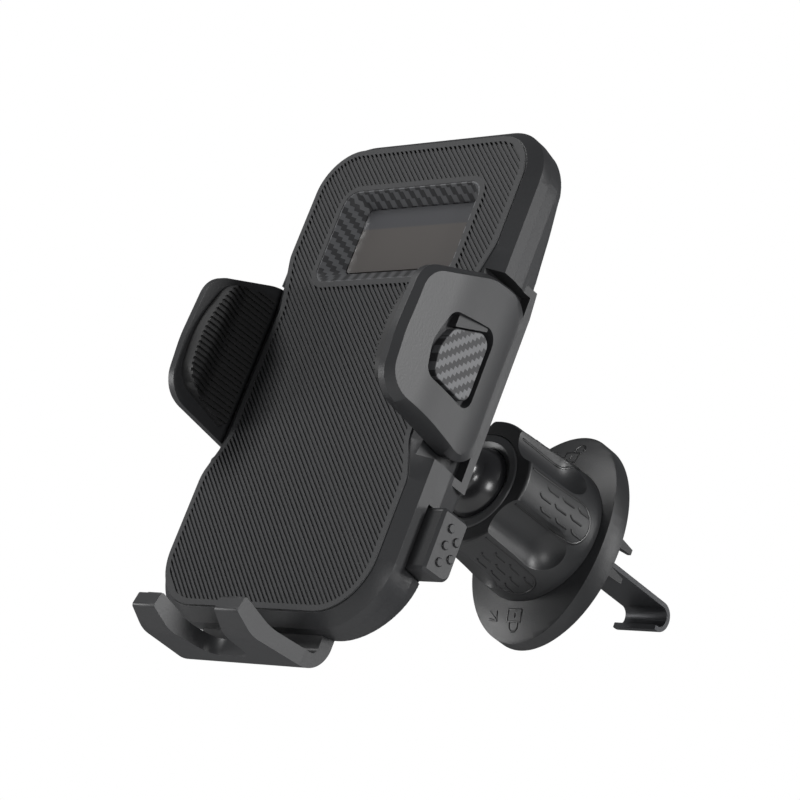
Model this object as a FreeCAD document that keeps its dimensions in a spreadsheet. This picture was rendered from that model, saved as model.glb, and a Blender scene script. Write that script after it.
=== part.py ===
# Air vent phone holder: a clamping head on a ball joint, a twist-lock knob, and a hook for one vent blade.
# Millimetres. X is to the right of someone facing the pad, Y points back to the vent, Z is up.
# The origin is the centre of the base pad's rear face. Depths count forward from there, so depth = -Y.
import FreeCAD, Part
import math
import os
import Sketcher
from FreeCAD import Placement, Rotation, Vector

DIMENSIONS = (
    # Base: an oval disc with a rubber pad and four prongs behind it.
    ("disc_half_width", 18.1),
    ("disc_half_height", 25.2),
    ("disc_front", 6.9),
    ("disc_rim_front", 4.2),
    ("disc_flat_radius", 16.3),
    ("dome_round", 30.0),
    ("dome_rise", 0.25),
    ("base_pad_thickness", 1.0),
    ("base_pad_inset", 1.0),
    ("recess_radius", 11.1),
    ("recess_floor", 4.6),
    ("prong_reach", 8.2),
    ("prong_side", 12.6),
    ("prong_height", 3.5),
    ("prong_root", 2.8),
    ("prong_taper", 5.4),
    # Ball joint: core, ring, friction cup and ball.
    ("ball_depth", 28.3),
    ("ball_radius", 8.5),
    ("ball_clearance", 0.1),
    ("cup_thickness", 1.6),
    ("cup_clearance", 0.15),
    ("cup_hole_radius", 3.0),
    ("core_radius", 11.35),
    ("core_front", 27.0),
    ("core_shoulder", 17.0),
    ("core_wall_rear", 16.2),
    ("tube_radius", 9.1),
    ("tube_bore", 6.4),
    ("tube_slot_half", 1.0),
    ("pilot_depth", 6.0),
    ("ring_front", 31.2),
    ("ring_bevel_radius", 9.6),
    ("ring_mouth_radius", 8.2),
    ("ring_mouth_depth", 30.4),
    # Twist sleeve: the lobed knob that draws the hook in.
    ("sleeve_front", 30.9),
    ("sleeve_front_radius", 14.9),
    ("sleeve_middle_radius", 15.3),
    ("sleeve_rear_radius", 16.0),
    ("sleeve_clearance", 0.15),
    ("sleeve_gap", 0.2),
    ("relief_depth", 0.9),
    ("relief_slack", 0.7),
    ("relief_rear", 5.4),
    ("collar_radius", 10.9),
    ("scoop_radius", 6.9),
    ("scoop_bottom", 12.3),
    ("scoop_end", 18.0),
    ("scoop_angle", 34.0),
    ("scoop_count", 5),
    # Hook: a bent metal strip held in a plastic carrier.
    ("hook_width", 12.2),
    ("hook_neck_width", 11.0),
    ("hook_neck_end", 9.8),
    ("hook_top", 2.55),
    ("hook_sheet", 1.25),
    ("hook_reach", 34.6),
    ("hook_drop", 6.95),
    ("hook_bend", 3.4),
    ("hook_lip", 4.0),
    ("carrier_radius", 6.2),
    ("carrier_rear", 4.9),
    ("carrier_thickness", 3.0),
    ("carrier_pin_radius", 0.8),
    ("carrier_pin_reach", 9.9),
    ("hook_travel", 8.0),
    # Ball stud: neck and the flange that turns inside the back shell.
    ("neck_radius", 4.4),
    ("neck_fillet", 4.0),
    ("neck_clearance", 0.2),
    ("flange_radius", 9.0),
    ("flange_thickness", 2.0),
    ("retainer_radius", 11.5),
    ("retainer_top", 0.8),
    # Head: two shells with a notch for each jaw.
    ("head_back", 60.0),
    ("head_facet", 67.0),
    ("head_split", 70.4),
    ("head_shoulder", 73.1),
    ("head_front", 75.6),
    ("head_half_width", 32.5),
    ("head_top", 58.7),
    ("head_bottom", 54.5),
    ("head_top_round", 12.6),
    ("head_bottom_round", 14.6),
    ("side_lean", 0.5),
    ("facet_inset", 2.9),
    ("shell_wall", 1.8),
    ("shell_floor", 2.0),
    ("notch_half_width", 29.0),
    ("notch_top", 24.6),
    ("notch_bottom", 17.3),
    ("notch_back", 63.4),
    ("rib_half", 0.7),
    ("arm_rib_side", 15.0),
    ("foot_rail_side", 8.0),
    ("guide_width", 3.6),
    # Front pad: a ribbed rubber sheet with a waist between the jaws.
    ("pad_back", 74.4),
    ("pad_front", 76.0),
    ("pad_half_width", 29.9),
    ("pad_top", 56.1),
    ("pad_bottom", 51.9),
    ("pad_top_round", 10.0),
    ("pad_bottom_round", 12.0),
    ("waist_half_width", 26.4),
    ("waist_round", 8.0),
    ("waist_top_start", 30.0),
    ("waist_top_end", 17.5),
    ("waist_bottom_start", 22.5),
    ("waist_bottom_end", 14.0),
    ("pad_land", 0.25),
    ("pad_rim", 1.25),
    ("rib_pitch", 0.912),
    ("rib_groove", 0.45),
    ("rib_depth", 0.55),
    # Window: a sloping bezel round a smoked plate.
    ("window_half_width", 19.85),
    ("window_top", 45.6),
    ("window_bottom", 23.1),
    ("window_round", 3.6),
    ("bezel_lip", 0.35),
    ("bezel_front", 75.9),
    ("bezel_foot", 71.8),
    ("bezel_floor", 71.0),
    ("bezel_back", 70.6),
    ("plate_half_width", 15.6),
    ("plate_top", 43.2),
    ("plate_bottom", 27.8),
    ("plate_gap", 0.3),
    ("plate_thickness", 0.8),
    # Jaws: curved side plates with ribbed rubber pads and a set-in island.
    ("jaw_inner", 29.8),
    ("jaw_edge", 33.2),
    ("jaw_crown", 34.4),
    ("jaw_brow", 90.2),
    ("jaw_brow_height", 17.1),
    ("jaw_nose", 93.9),
    ("jaw_nose_height", 4.0),
    ("jaw_nose_round", 30.0),
    ("jaw_chin", 92.5),
    ("jaw_chin_height", 9.5),
    ("jaw_heel", 63.9),
    ("jaw_heel_height", 15.8),
    ("jaw_rear", 65.0),
    ("jaw_rear_height", 23.7),
    ("jaw_front_round", 7.0),
    ("jaw_rear_round", 5.5),
    ("jaw_rear_drop", 1.9),
    ("recess_brow", 81.8),
    ("recess_brow_height", 10.4),
    ("recess_chin", 83.7),
    ("recess_chin_height", 1.6),
    ("recess_heel", 71.1),
    ("recess_heel_height", 4.7),
    ("recess_rear", 69.9),
    ("recess_rear_height", 11.0),
    ("recess_round", 3.2),
    ("jaw_pad_back", 76.2),
    ("jaw_pad_bottom", 11.9),
    ("jaw_pad_top", 19.6),
    ("jaw_pad_bend", 84.6),
    ("jaw_pad_rise", 88.6),
    ("jaw_pad_crest", 26.3),
    ("jaw_pad_hollow", 28.2),
    ("jaw_pad_inset", 1.2),
    ("jaw_rib_pitch", 1.2),
    ("jaw_rib_groove", 0.6),
    ("jaw_rib_depth", 0.5),
    ("jaw_rib_start", 11.3),
    ("jaw_recess_floor", 31.2),
    ("inlay_thickness", 1.5),
    ("inlay_inset", 1.3),
    ("jaw_socket", 1.6),
    # Rack and pinion that keep the jaws level with each other.
    ("gear_module", 1.0),
    ("gear_teeth", 12),
    ("pressure_angle", 25.0),
    ("tooth_addendum", 0.9),
    ("tooth_dedendum", 1.15),
    ("tooth_backlash", 0.25),
    ("pinion_height", 3.5),
    ("arm_back", 65.5),
    ("arm_front", 68.0),
    ("arm_thickness", 4.75),
    ("arm_reach", 22.2),
    ("arm_slot_clearance", 0.3),
    ("rack_teeth", 9),
    ("axle_radius", 2.0),
    ("axle_clearance", 0.05),
    ("axle_boss_radius", 3.1),
    ("opening_spring_strip", 0.3),
    ("opening_spring_turns", 2.5),
    ("opening_spring_rise", 1.0),
    # Release buttons and the pawl that locks the lower arm.
    ("button_back", 62.6),
    ("button_front", 70.1),
    ("button_top", 26.0),
    ("button_bottom", 39.4),
    ("button_outer", 37.1),
    ("button_inner", 27.0),
    ("button_gap", 0.3),
    ("button_travel", 2.5),
    ("stud_radius", 0.75),
    ("stud_height", 0.35),
    ("stud_sink", 0.3),
    ("stud_front_row", 66.9),
    ("stud_rear_row", 64.4),
    ("stud_middle", 32.7),
    ("stud_spacing", 3.6),
    ("plunger_back", 64.9),
    ("plunger_front", 67.3),
    ("plunger_top", 27.2),
    ("plunger_height", 2.2),
    ("plunger_reach", 4.3),
    ("spring_radius", 1.35),
    ("spring_wire", 0.25),
    ("spring_height", 34.6),
    ("spring_turns", 4),
    ("pawl_back", 65.3),
    ("pawl_front", 66.9),
    ("pawl_pin_radius", 1.2),
    ("pawl_pin_clearance", 0.1),
    ("pawl_side", 12.5),
    ("pawl_height", 16.0),
    ("pawl_half_width", 2.2),
    ("pawl_tip_side", 16.5),
    ("pawl_tip_gap", 0.25),
    ("pawl_foot_side", 21.45),
    ("pawl_foot_low", 28.1),
    ("pawl_tip_half", 0.9),
    # Foot: two fingers on a plate that slides down out of the head.
    ("foot_half_width", 17.4),
    ("foot_back", 67.1),
    ("foot_plate_front", 70.3),
    ("foot_top", 27.0),
    ("foot_bottom", 62.2),
    ("foot_seat", 58.8),
    ("foot_tip", 56.0),
    ("foot_reach", 91.0),
    ("foot_gap", 0.2),
    ("finger_inner_tip", 9.0),
    ("finger_outer_tip", 15.3),
    ("finger_root", 5.9),
    ("finger_root_depth", 75.5),
    ("finger_rise", 8.6),
    ("finger_lip", 0.7),
    ("finger_front", 3.3),
    ("finger_chin", 5.2),
    ("finger_shoulder", 3.0),
    ("liner_thickness", 0.6),
    ("liner_margin", 0.9),
    ("liner_front_gap", 0.8),
    # Fasteners.
    ("screw_radius", 1.0),
    ("screw_head_radius", 1.9),
    ("screw_head_height", 1.3),
    ("screw_post_radius", 2.6),
    ("screw_clearance", 0.05),
    ("upper_screw_side", 24.5),
    ("upper_screw_height", 47.0),
    ("lower_screw_side", 22.0),
    ("lower_screw_height", 45.0),
)


class Size:
    """A measure of the sheet: its present value and the formula that gives it."""

    def __init__(self, value, formula):
        self.value = value
        self.formula = formula

    def __add__(self, other):
        return joined(self, "+", other, self.value + value_of(other))

    def __radd__(self, other):
        return joined(other, "+", self, value_of(other) + self.value)

    def __sub__(self, other):
        return joined(self, "-", other, self.value - value_of(other))

    def __rsub__(self, other):
        return joined(other, "-", self, value_of(other) - self.value)

    def __mul__(self, other):
        return joined(self, "*", other, self.value * value_of(other))

    def __rmul__(self, other):
        return joined(other, "*", self, value_of(other) * self.value)

    def __truediv__(self, other):
        return joined(self, "/", other, self.value / value_of(other))

    def __neg__(self):
        return joined(0, "-", self, -self.value)


def value_of(measure):
    return measure.value if isinstance(measure, Size) else float(measure)


def formula_of(measure):
    return measure.formula if isinstance(measure, Size) else "%.6f" % measure


def joined(left, sign, right, value):
    return Size(value, "(%s %s %s)" % (formula_of(left), sign, formula_of(right)))


class Sizes:
    """The sheet's measures by name."""

    def __init__(self, document):
        sheet = document.addObject("Spreadsheet::Sheet", "Sizes")
        for row, (alias, value) in enumerate(DIMENSIONS, start=1):
            sheet.set("A%d" % row, alias)
            sheet.set("B%d" % row, str(value))
            sheet.setAlias("B%d" % row, alias)
        document.recompute()
        for alias, value in DIMENSIONS:
            setattr(self, alias, Size(float(sheet.get(alias)), "Sizes." + alias))


document = FreeCAD.newDocument("VentPhoneHolder")
s = Sizes(document)
nodes = {}


def bind(item, name, measure):
    """Ties a property to the sheet, or sets it where the measure is a plain number."""
    if isinstance(measure, Size):
        item.setExpression(name, measure.formula)
    else:
        item.setExpression(name, "%.6f" % measure)


def new_body(name, node=True):
    body = document.addObject("PartDesign::Body", name)
    body.Label = name
    if node:
        nodes[name] = body
    return body


def origin_item(body, role):
    return next(item for item in body.Origin.OriginFeatures if item.Role == role)


def place_line(sketch, start, end):
    return sketch.addGeometry(Part.LineSegment(Vector(*start, 0), Vector(*end, 0)), False)


def tie_point(sketch, geometry, point, corner):
    """Holds a sketch point at a corner's two measures."""
    for axis, kind in enumerate(("DistanceX", "DistanceY")):
        index = sketch.addConstraint(
            Sketcher.Constraint(kind, -1, 1, geometry, point, value_of(corner[axis]))
        )
        if isinstance(corner[axis], Size):
            sketch.setExpression("Constraints[%d]" % index, corner[axis].formula)


def corner_round(before, here, after, radius):
    """Tangent points, centre and turning sense of an arc that rounds one corner."""
    to_before = (before - here).normalize()
    to_after = (after - here).normalize()
    half_angle = to_before.getAngle(to_after) / 2
    cut = radius / math.tan(half_angle)
    inward = (to_before + to_after).normalize()
    centre = here + inward * (radius / math.sin(half_angle))
    turns_left = to_before.cross(to_after).z < 0
    return here + to_before * cut, here + to_after * cut, centre, turns_left


def draw_outline(sketch, corners):
    """A closed outline of (u, v) or (u, v, radius) corners, each tied to the sheet."""
    spots = [Vector(value_of(corner[0]), value_of(corner[1]), 0) for corner in corners]
    count = len(corners)
    starts, ends, arcs = [], [], {}
    for index, corner in enumerate(corners):
        if len(corner) < 3:
            starts.append(spots[index])
            ends.append(spots[index])
            continue
        arrive, leave, centre, turns_left = corner_round(
            spots[index - 1], spots[index], spots[(index + 1) % count], value_of(corner[2])
        )
        ends.append(arrive)
        starts.append(leave)
        first, last = (arrive, leave) if turns_left else (leave, arrive)
        angles = [math.atan2(spot.y - centre.y, spot.x - centre.x) for spot in (first, last)]
        if angles[1] < angles[0]:
            angles[1] += 2 * math.pi
        circle = Part.Circle(centre, Vector(0, 0, 1), value_of(corner[2]))
        arcs[index] = (Part.ArcOfCircle(circle, *angles), turns_left)
    lines = []
    for index in range(count):
        lines.append(place_line(sketch, (starts[index].x, starts[index].y),
                                (ends[(index + 1) % count].x, ends[(index + 1) % count].y)))
    for index, corner in enumerate(corners):
        line_in, line_out = lines[index - 1], lines[index]
        if index not in arcs:
            sketch.addConstraint(Sketcher.Constraint("Coincident", line_in, 2, line_out, 1))
            tie_point(sketch, line_out, 1, corner)
            continue
        arc, turns_left = arcs[index]
        curve = sketch.addGeometry(arc, False)
        arrive, leave = (1, 2) if turns_left else (2, 1)
        mark = sketch.addGeometry(Part.Point(spots[index]), True)
        tie_point(sketch, mark, 1, corner)
        sketch.addConstraint(Sketcher.Constraint("PointOnObject", mark, 1, line_in))
        sketch.addConstraint(Sketcher.Constraint("PointOnObject", mark, 1, line_out))
        sketch.addConstraint(Sketcher.Constraint("Tangent", line_in, 2, curve, arrive))
        sketch.addConstraint(Sketcher.Constraint("Tangent", line_out, 1, curve, leave))
        radius = sketch.addConstraint(Sketcher.Constraint("Radius", curve, value_of(corner[2])))
        if isinstance(corner[2], Size):
            sketch.setExpression("Constraints[%d]" % radius, corner[2].formula)


def draw_circle(sketch, circle):
    """A circle given as (u, v, radius)."""
    centre = Vector(value_of(circle[0]), value_of(circle[1]), 0)
    curve = sketch.addGeometry(Part.Circle(centre, Vector(0, 0, 1), value_of(circle[2])), False)
    tie_point(sketch, curve, 3, circle)
    radius = sketch.addConstraint(Sketcher.Constraint("Radius", curve, value_of(circle[2])))
    if isinstance(circle[2], Size):
        sketch.setExpression("Constraints[%d]" % radius, circle[2].formula)


def draw_oval(sketch, half_width, half_height):
    """An upright ellipse about the sketch's origin."""
    top = Vector(0, value_of(half_height), 0)
    side = Vector(value_of(half_width), 0, 0)
    oval = sketch.addGeometry(Part.Ellipse(top, side, Vector(0, 0, 0)), False)
    sketch.exposeInternalGeometry(oval)
    sketch.addConstraint(Sketcher.Constraint("Coincident", oval, 3, -1, 1))
    major, minor = oval + 1, oval + 2
    sketch.addConstraint(Sketcher.Constraint("PointOnObject", major, 1, -2))
    for line, measure in ((major, half_height), (minor, half_width)):
        size = sketch.addConstraint(Sketcher.Constraint("Distance", line, 2 * value_of(measure)))
        sketch.setExpression("Constraints[%d]" % size, (2 * measure).formula)


def new_sketch(body, name, plane, offset=0, outlines=(), circles=(), oval=None, turn=None):
    sketch = body.newObject("Sketcher::SketchObject", name)
    sketch.AttachmentSupport = [(origin_item(body, plane), "")]
    sketch.MapMode = "FlatFace"
    if turn is not None:
        sketch.AttachmentOffset = Placement(Vector(0, 0, 0), Rotation(Vector(0, 1, 0), -value_of(turn)))
        bind(sketch, "AttachmentOffset.Rotation.Angle", turn)
    bind(sketch, "AttachmentOffset.Base.z", offset)
    for corners in outlines:
        draw_outline(sketch, corners)
    for circle in circles:
        draw_circle(sketch, circle)
    if oval:
        draw_oval(sketch, *oval)
    return sketch


def front_sketch(body, name, depth, *outlines, **more):
    """A sketch square to the depth axis: its corners are (x, z)."""
    return new_sketch(body, name, "XZ_Plane", depth, outlines, **more)


def side_sketch(body, name, side, *outlines, **more):
    """A sketch square to X: its corners are (y, z)."""
    return new_sketch(body, name, "YZ_Plane", side, outlines, **more)


def plan_sketch(body, name, height, *outlines, **more):
    """A level sketch: its corners are (x, y), and its upright axis is the axis of the ball and knob."""
    return new_sketch(body, name, "XY_Plane", height, outlines, **more)


def checked(body, feature, before, sense):
    """Recomputes and makes sure that the feature added or removed material."""
    document.recompute()
    change = body.Shape.Volume - before
    if change * sense <= 0 or not body.Shape.isValid():
        raise ValueError("%s: %s changes the volume by %.3f" % (body.Label, feature.Label, change))
    return feature


def solid_volume(body):
    return body.Shape.Volume if body.Tip else 0.0


def pad(body, name, sketch, length, reverse=False, middle=False, taper=None):
    before = solid_volume(body)
    feature = body.newObject("PartDesign::Pad", name)
    feature.Profile = sketch
    feature.Reversed = reverse
    feature.Midplane = middle
    bind(feature, "Length", length)
    if taper is not None:
        bind(feature, "TaperAngle", taper)
    return checked(body, feature, before, 1)


def pocket(body, name, sketch, length, reverse=False, middle=False):
    before = solid_volume(body)
    feature = body.newObject("PartDesign::Pocket", name)
    feature.Profile = sketch
    feature.Reversed = reverse
    feature.Midplane = middle
    bind(feature, "Length", length)
    return checked(body, feature, before, -1)


def spun(body, name, sketch, kind="PartDesign::Revolution"):
    """A full turn about the axis of the ball and knob."""
    before = solid_volume(body)
    feature = body.newObject(kind, name)
    feature.Profile = sketch
    feature.ReferenceAxis = (sketch, ["V_Axis"])
    feature.Angle = 360
    return checked(body, feature, before, -1 if kind.endswith("Groove") else 1)


def sphere(body, name, depth, radius, cut=False, band=None):
    """A ball on the knob's axis, added or cut away, or only the band between two latitudes."""
    before = solid_volume(body)
    kind = "PartDesign::SubtractiveSphere" if cut else "PartDesign::AdditiveSphere"
    feature = body.newObject(kind, name)
    feature.AttachmentSupport = [(origin_item(body, "XZ_Plane"), "")]
    feature.MapMode = "FlatFace"
    bind(feature, "AttachmentOffset.Base.z", depth)
    bind(feature, "Radius", radius)
    if band:
        feature.Angle1, feature.Angle2 = band
    return checked(body, feature, before, -1 if cut else 1)


def loft(body, name, sketches, cut=False):
    """Straight walls between outlines that have the same corners."""
    before = solid_volume(body)
    feature = body.newObject("PartDesign::SubtractiveLoft" if cut else "PartDesign::AdditiveLoft", name)
    feature.Profile = sketches[0]
    feature.Sections = sketches[1:]
    feature.Ruled = True
    return checked(body, feature, before, -1 if cut else 1)


def edges_of(body, test):
    names = []
    for index, edge in enumerate(body.Shape.Edges, start=1):
        if test(edge):
            names.append("Edge%d" % index)
    if not names:
        raise ValueError("%s: no edge fits" % body.Label)
    return (body.Tip, names)


def eased(body, name, test, measure, kind="PartDesign::Fillet"):
    """Rounds or bevels the edges that pass a test of their shape."""
    base = edges_of(body, test)
    feature = body.newObject(kind, name)
    feature.Base = base
    bind(feature, "Radius" if kind.endswith("Fillet") else "Size", measure)
    document.recompute()
    if not feature.isValid() or not body.Shape.isValid():
        raise ValueError("%s: %s fails" % (body.Label, name))
    return feature


def repeated(body, name, feature, axis, length, count):
    """Copies a feature along an axis, the last one at the given length."""
    pattern = body.newObject("PartDesign::LinearPattern", name)
    pattern.Originals = [feature]
    pattern.Direction = (origin_item(body, axis), [""])
    bind(pattern, "Length", length)
    bind(pattern, "Occurrences", count)
    body.Tip = pattern
    document.recompute()
    return pattern


def turned_copies(body, name, feature, count):
    """Copies a feature round the knob's axis."""
    pattern = body.newObject("PartDesign::PolarPattern", name)
    pattern.Originals = [feature]
    pattern.Axis = (origin_item(body, "Y_Axis"), [""])
    pattern.Angle = 360
    bind(pattern, "Occurrences", count)
    body.Tip = pattern
    document.recompute()
    return pattern


def mirrored(name, source):
    """The left-hand twin of a right-hand piece."""
    twin = document.addObject("Part::Mirroring", name)
    twin.Label = name
    twin.Source = source
    twin.Normal = (1, 0, 0)
    twin.Placement = Placement()
    nodes[name] = twin
    return twin


def rectangle(left, right, low, high, radius=None):
    corners = [(left, low), (right, low), (right, high), (left, high)]
    return corners if radius is None else [corner + (radius,) for corner in corners]


def group(name, makers):
    """Separate like pieces kept under one name."""
    bundle = document.addObject("Part::Compound", name)
    bundle.Label = name
    bundle.Links = makers
    bundle.Placement = Placement()
    nodes[name] = bundle
    return bundle


def make_base_disc():
    """Oval disc with a domed front, a recess for the sleeve's collar and a slot for the hook."""
    body = new_body("base_disc")
    low = s.base_pad_thickness
    oval = front_sketch(body, "disc_oval", low, oval=(s.disc_half_width, s.disc_half_height))
    pad(body, "disc", oval, s.disc_front - low)
    slope_radius = (s.disc_flat_radius + s.disc_half_height) / 2
    slope_depth = (s.disc_front + s.disc_rim_front) / 2 + s.dome_rise
    over = s.disc_front + 1
    dome = plan_sketch(body, "dome", 0, [
        (s.disc_flat_radius, -s.disc_front),
        (slope_radius, -slope_depth, s.dome_round),
        (s.disc_half_height + 1, -s.disc_rim_front + s.dome_rise),
        (s.disc_half_height + 1, -over),
        (s.disc_flat_radius, -over),
    ])
    spun(body, "dome_cut", dome, "PartDesign::Groove")
    recess = front_sketch(body, "recess", s.disc_front, circles=[(0, 0, s.recess_radius)])
    pocket(body, "recess_cut", recess, s.disc_front - s.recess_floor)
    pocket(body, "hook_slot", front_sketch(body, "slot", s.recess_floor, hook_slot(0.3)),
           s.recess_floor - low)
    holes = front_sketch(body, "screw_holes", s.recess_floor, circles=base_screw_spots(s.screw_radius))
    pocket(body, "screw_holes_cut", holes, s.recess_floor - low)
    seats = front_sketch(body, "screw_seats", low + s.screw_head_height + 0.1,
                         circles=base_screw_spots(s.screw_head_radius))
    pocket(body, "screw_seats_cut", seats, s.screw_head_height + 0.1)


def hook_slot(gap):
    half = s.hook_width / 2 + gap
    low = s.hook_top - s.hook_sheet
    return rectangle(-half, half, low - gap, s.hook_top + gap)


def base_screw_spots(radius, slack=True):
    """Three screws round the core's tube, clear of its two slots."""
    ring = (s.tube_radius + s.tube_bore) / 2
    size = radius + s.screw_clearance if slack else radius
    cosine, sine = math.cos(math.radians(30)), math.sin(math.radians(30))
    return [(0, ring, size), (ring * cosine, -ring * sine, size), (-ring * cosine, -ring * sine, size)]


def make_base_pad():
    """Rubber pad behind the disc with four tapering prongs that brace the blades."""
    body = new_body("base_pad")
    oval = (s.disc_half_width - s.base_pad_inset, s.disc_half_height - s.base_pad_inset)
    pad(body, "sheet", front_sketch(body, "sheet_oval", 0, oval=oval), s.base_pad_thickness)
    half_root = s.prong_root / 2
    roots = []
    for side in (-1, 1):
        for level in (-1, 1):
            across = s.prong_side * side
            up = s.prong_height * level
            roots.append(rectangle(across - half_root * 0.9, across + half_root * 0.9,
                                   up - half_root, up + half_root))
    pad(body, "prongs", front_sketch(body, "prong_roots", 0, *roots), s.prong_reach,
        reverse=True, taper=-s.prong_taper)
    pocket(body, "hook_slot", front_sketch(body, "slot", s.base_pad_thickness, hook_slot(0.3)),
           s.base_pad_thickness)


def relief_front():
    """Front end of the knob's inner groove, a little past the pins' last place."""
    middle = s.carrier_rear + s.carrier_thickness / 2
    return middle + s.hook_travel + s.carrier_pin_radius + s.relief_slack


def make_socket_core():
    """Fixed tube through the knob with the cup that carries the ball."""
    body = new_body("socket_core")
    profile = plan_sketch(body, "profile", 0, [
        (0, -s.core_front),
        (s.core_radius, -s.core_front),
        (s.core_radius, -s.core_shoulder),
        (s.tube_radius, -s.core_shoulder),
        (s.tube_radius, -s.recess_floor),
        (s.tube_bore, -s.recess_floor),
        (s.tube_bore, -s.core_wall_rear),
        (0, -s.core_wall_rear),
    ])
    spun(body, "turned", profile)
    cavity = s.ball_radius + s.ball_clearance + s.cup_thickness + s.cup_clearance
    sphere(body, "cavity", s.ball_depth, cavity, cut=True)
    slot_end = relief_front() - 0.4
    slot = side_sketch(body, "pin_slots", 0, rectangle(
        -slot_end, -(s.recess_floor - 0.5), -s.tube_slot_half, s.tube_slot_half))
    pocket(body, "pin_slots_cut", slot, s.tube_radius * 2 + 1, middle=True)
    pilots = front_sketch(body, "pilots", s.recess_floor + s.pilot_depth,
                          circles=base_screw_spots(s.screw_radius))
    pocket(body, "pilots_cut", pilots, s.pilot_depth + 0.5)


def make_base_screws():
    """Three screws from behind the disc into the core's tube."""
    screws = []
    for index, (across, up, radius) in enumerate(base_screw_spots(s.screw_radius, slack=False)):
        body = new_body("base_screw_%d" % (index + 1), node=False)
        head_front = s.base_pad_thickness + 0.1 + s.screw_head_height
        head = front_sketch(body, "head", s.base_pad_thickness + 0.1,
                            circles=[(across, up, s.screw_head_radius)])
        pad(body, "head_pad", head, s.screw_head_height)
        shank = front_sketch(body, "shank", head_front, circles=[(across, up, radius)])
        pad(body, "shank_pad", shank, s.recess_floor + s.pilot_depth - 0.2 - head_front)
        screws.append(body)
    group("base_screws", screws)


def make_socket_ring():
    """Front ring with a bevelled mouth and a spherical seat that holds the ball in."""
    body = new_body("socket_ring")
    profile = plan_sketch(body, "profile", 0, [
        (s.ring_mouth_radius, -s.core_front),
        (s.core_radius, -s.core_front),
        (s.core_radius, -s.ring_front, 0.5),
        (s.ring_bevel_radius, -s.ring_front, 0.6),
        (s.ring_mouth_radius, -s.ring_mouth_depth),
    ])
    spun(body, "turned", profile)
    sphere(body, "seat", s.ball_depth, s.ball_radius + s.ball_clearance, cut=True)


def make_friction_cup():
    """Thin cup behind the ball that grips it and turns with it from side to side."""
    body = new_body("friction_cup")
    bore = s.ball_radius + s.ball_clearance
    sphere(body, "outside", s.ball_depth, bore + s.cup_thickness, band=(-80, -32))
    sphere(body, "inside", s.ball_depth, bore, cut=True)
    hole = front_sketch(body, "hole", s.ball_depth, circles=[(0, 0, s.cup_hole_radius)])
    pocket(body, "hole_cut", hole, s.ball_radius + 5)


def make_ball_stud():
    """Ball, neck and flange in one piece."""
    body = new_body("ball_stud")
    sphere(body, "ball", s.ball_depth, s.ball_radius)
    flange_back = s.head_back + s.shell_floor + 0.1
    neck = front_sketch(body, "neck", s.ball_depth, circles=[(0, 0, s.neck_radius)])
    pad(body, "neck_pad", neck, flange_back + 0.5 - s.ball_depth)
    flange = front_sketch(body, "flange", flange_back, circles=[(0, 0, s.flange_radius)])
    pad(body, "flange_pad", flange, s.flange_thickness)
    middle = -value_of(s.ball_depth) - value_of(s.ball_radius)
    eased(body, "neck_round", lambda edge: edge.BoundBox.YLength < 0.01
          and abs(edge.BoundBox.XLength - 2 * value_of(s.neck_radius)) < 0.01
          and middle - 1 < edge.BoundBox.Center.y < middle + 4, s.neck_fillet)


def make_twist_sleeve():
    """Lobed knob: five ball-ended scoops cut between its grip patches, and a groove for the carrier's pins."""
    body = new_body("twist_sleeve")
    bore = s.tube_radius + s.sleeve_clearance
    rear = s.disc_front + s.sleeve_gap
    step = s.core_shoulder - s.sleeve_gap
    mouth = s.core_radius + s.sleeve_clearance
    profile = plan_sketch(body, "profile", 0, [
        (mouth, -s.sleeve_front),
        (s.sleeve_front_radius, -s.sleeve_front, 0.8),
        (s.sleeve_middle_radius, -21.0, 30),
        (s.sleeve_rear_radius, -13.3, 30),
        (s.disc_flat_radius, -rear),
        (s.collar_radius, -rear),
        (s.collar_radius, -(s.recess_floor + s.sleeve_gap)),
        (bore, -(s.recess_floor + s.sleeve_gap)),
        (bore, -s.relief_rear),
        (bore + s.relief_depth, -s.relief_rear),
        (bore + s.relief_depth, -relief_front()),
        (bore, -relief_front()),
        (bore, -step),
        (mouth, -step),
    ])
    spun(body, "turned", profile)
    away = s.scoop_bottom + s.scoop_radius
    ahead = s.sleeve_front + 2
    scoop = plan_sketch(body, "scoop", 0, [
        (away, -ahead),
        (away, -(s.scoop_end - s.scoop_radius)),
        (away - s.scoop_radius, -(s.scoop_end - s.scoop_radius), s.scoop_radius * 0.98),
        (away - s.scoop_radius, -ahead),
    ], turn=s.scoop_angle)
    before = solid_volume(body)
    cut = body.newObject("PartDesign::Groove", "scoop_cut")
    cut.Profile = scoop
    cut.ReferenceAxis = (scoop, ["Edge1"])
    cut.Angle = 360
    checked(body, cut, before, -1)
    turned_copies(body, "scoops", cut, s.scoop_count)


def make_hook():
    """Metal strip bent down at its end, necked where it enters the carrier."""
    body = new_body("hook")
    low = s.hook_top - s.hook_sheet
    bottom = s.hook_top - s.hook_drop
    inner_bend = s.hook_bend - s.hook_sheet
    front = carrier_front() - 0.5
    lip = s.hook_reach - s.hook_lip
    profile = side_sketch(body, "strip", 0, [
        (-front, low),
        (s.hook_reach - s.hook_sheet, low, inner_bend),
        (s.hook_reach - s.hook_sheet, bottom + s.hook_sheet, inner_bend),
        (lip, bottom + s.hook_sheet),
        (lip, bottom),
        (s.hook_reach, bottom, s.hook_bend),
        (s.hook_reach, s.hook_top, s.hook_bend),
        (-front, s.hook_top),
    ])
    pad(body, "strip_pad", profile, s.hook_width, middle=True)
    half, neck = s.hook_width / 2 + 1, s.hook_neck_width / 2
    flanks = [rectangle(neck, half, -front - 1, s.hook_neck_end),
              rectangle(-half, -neck, -front - 1, s.hook_neck_end)]
    pocket(body, "neck", plan_sketch(body, "neck_flanks", s.hook_top + 1, *flanks), s.hook_sheet + 2)


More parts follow.
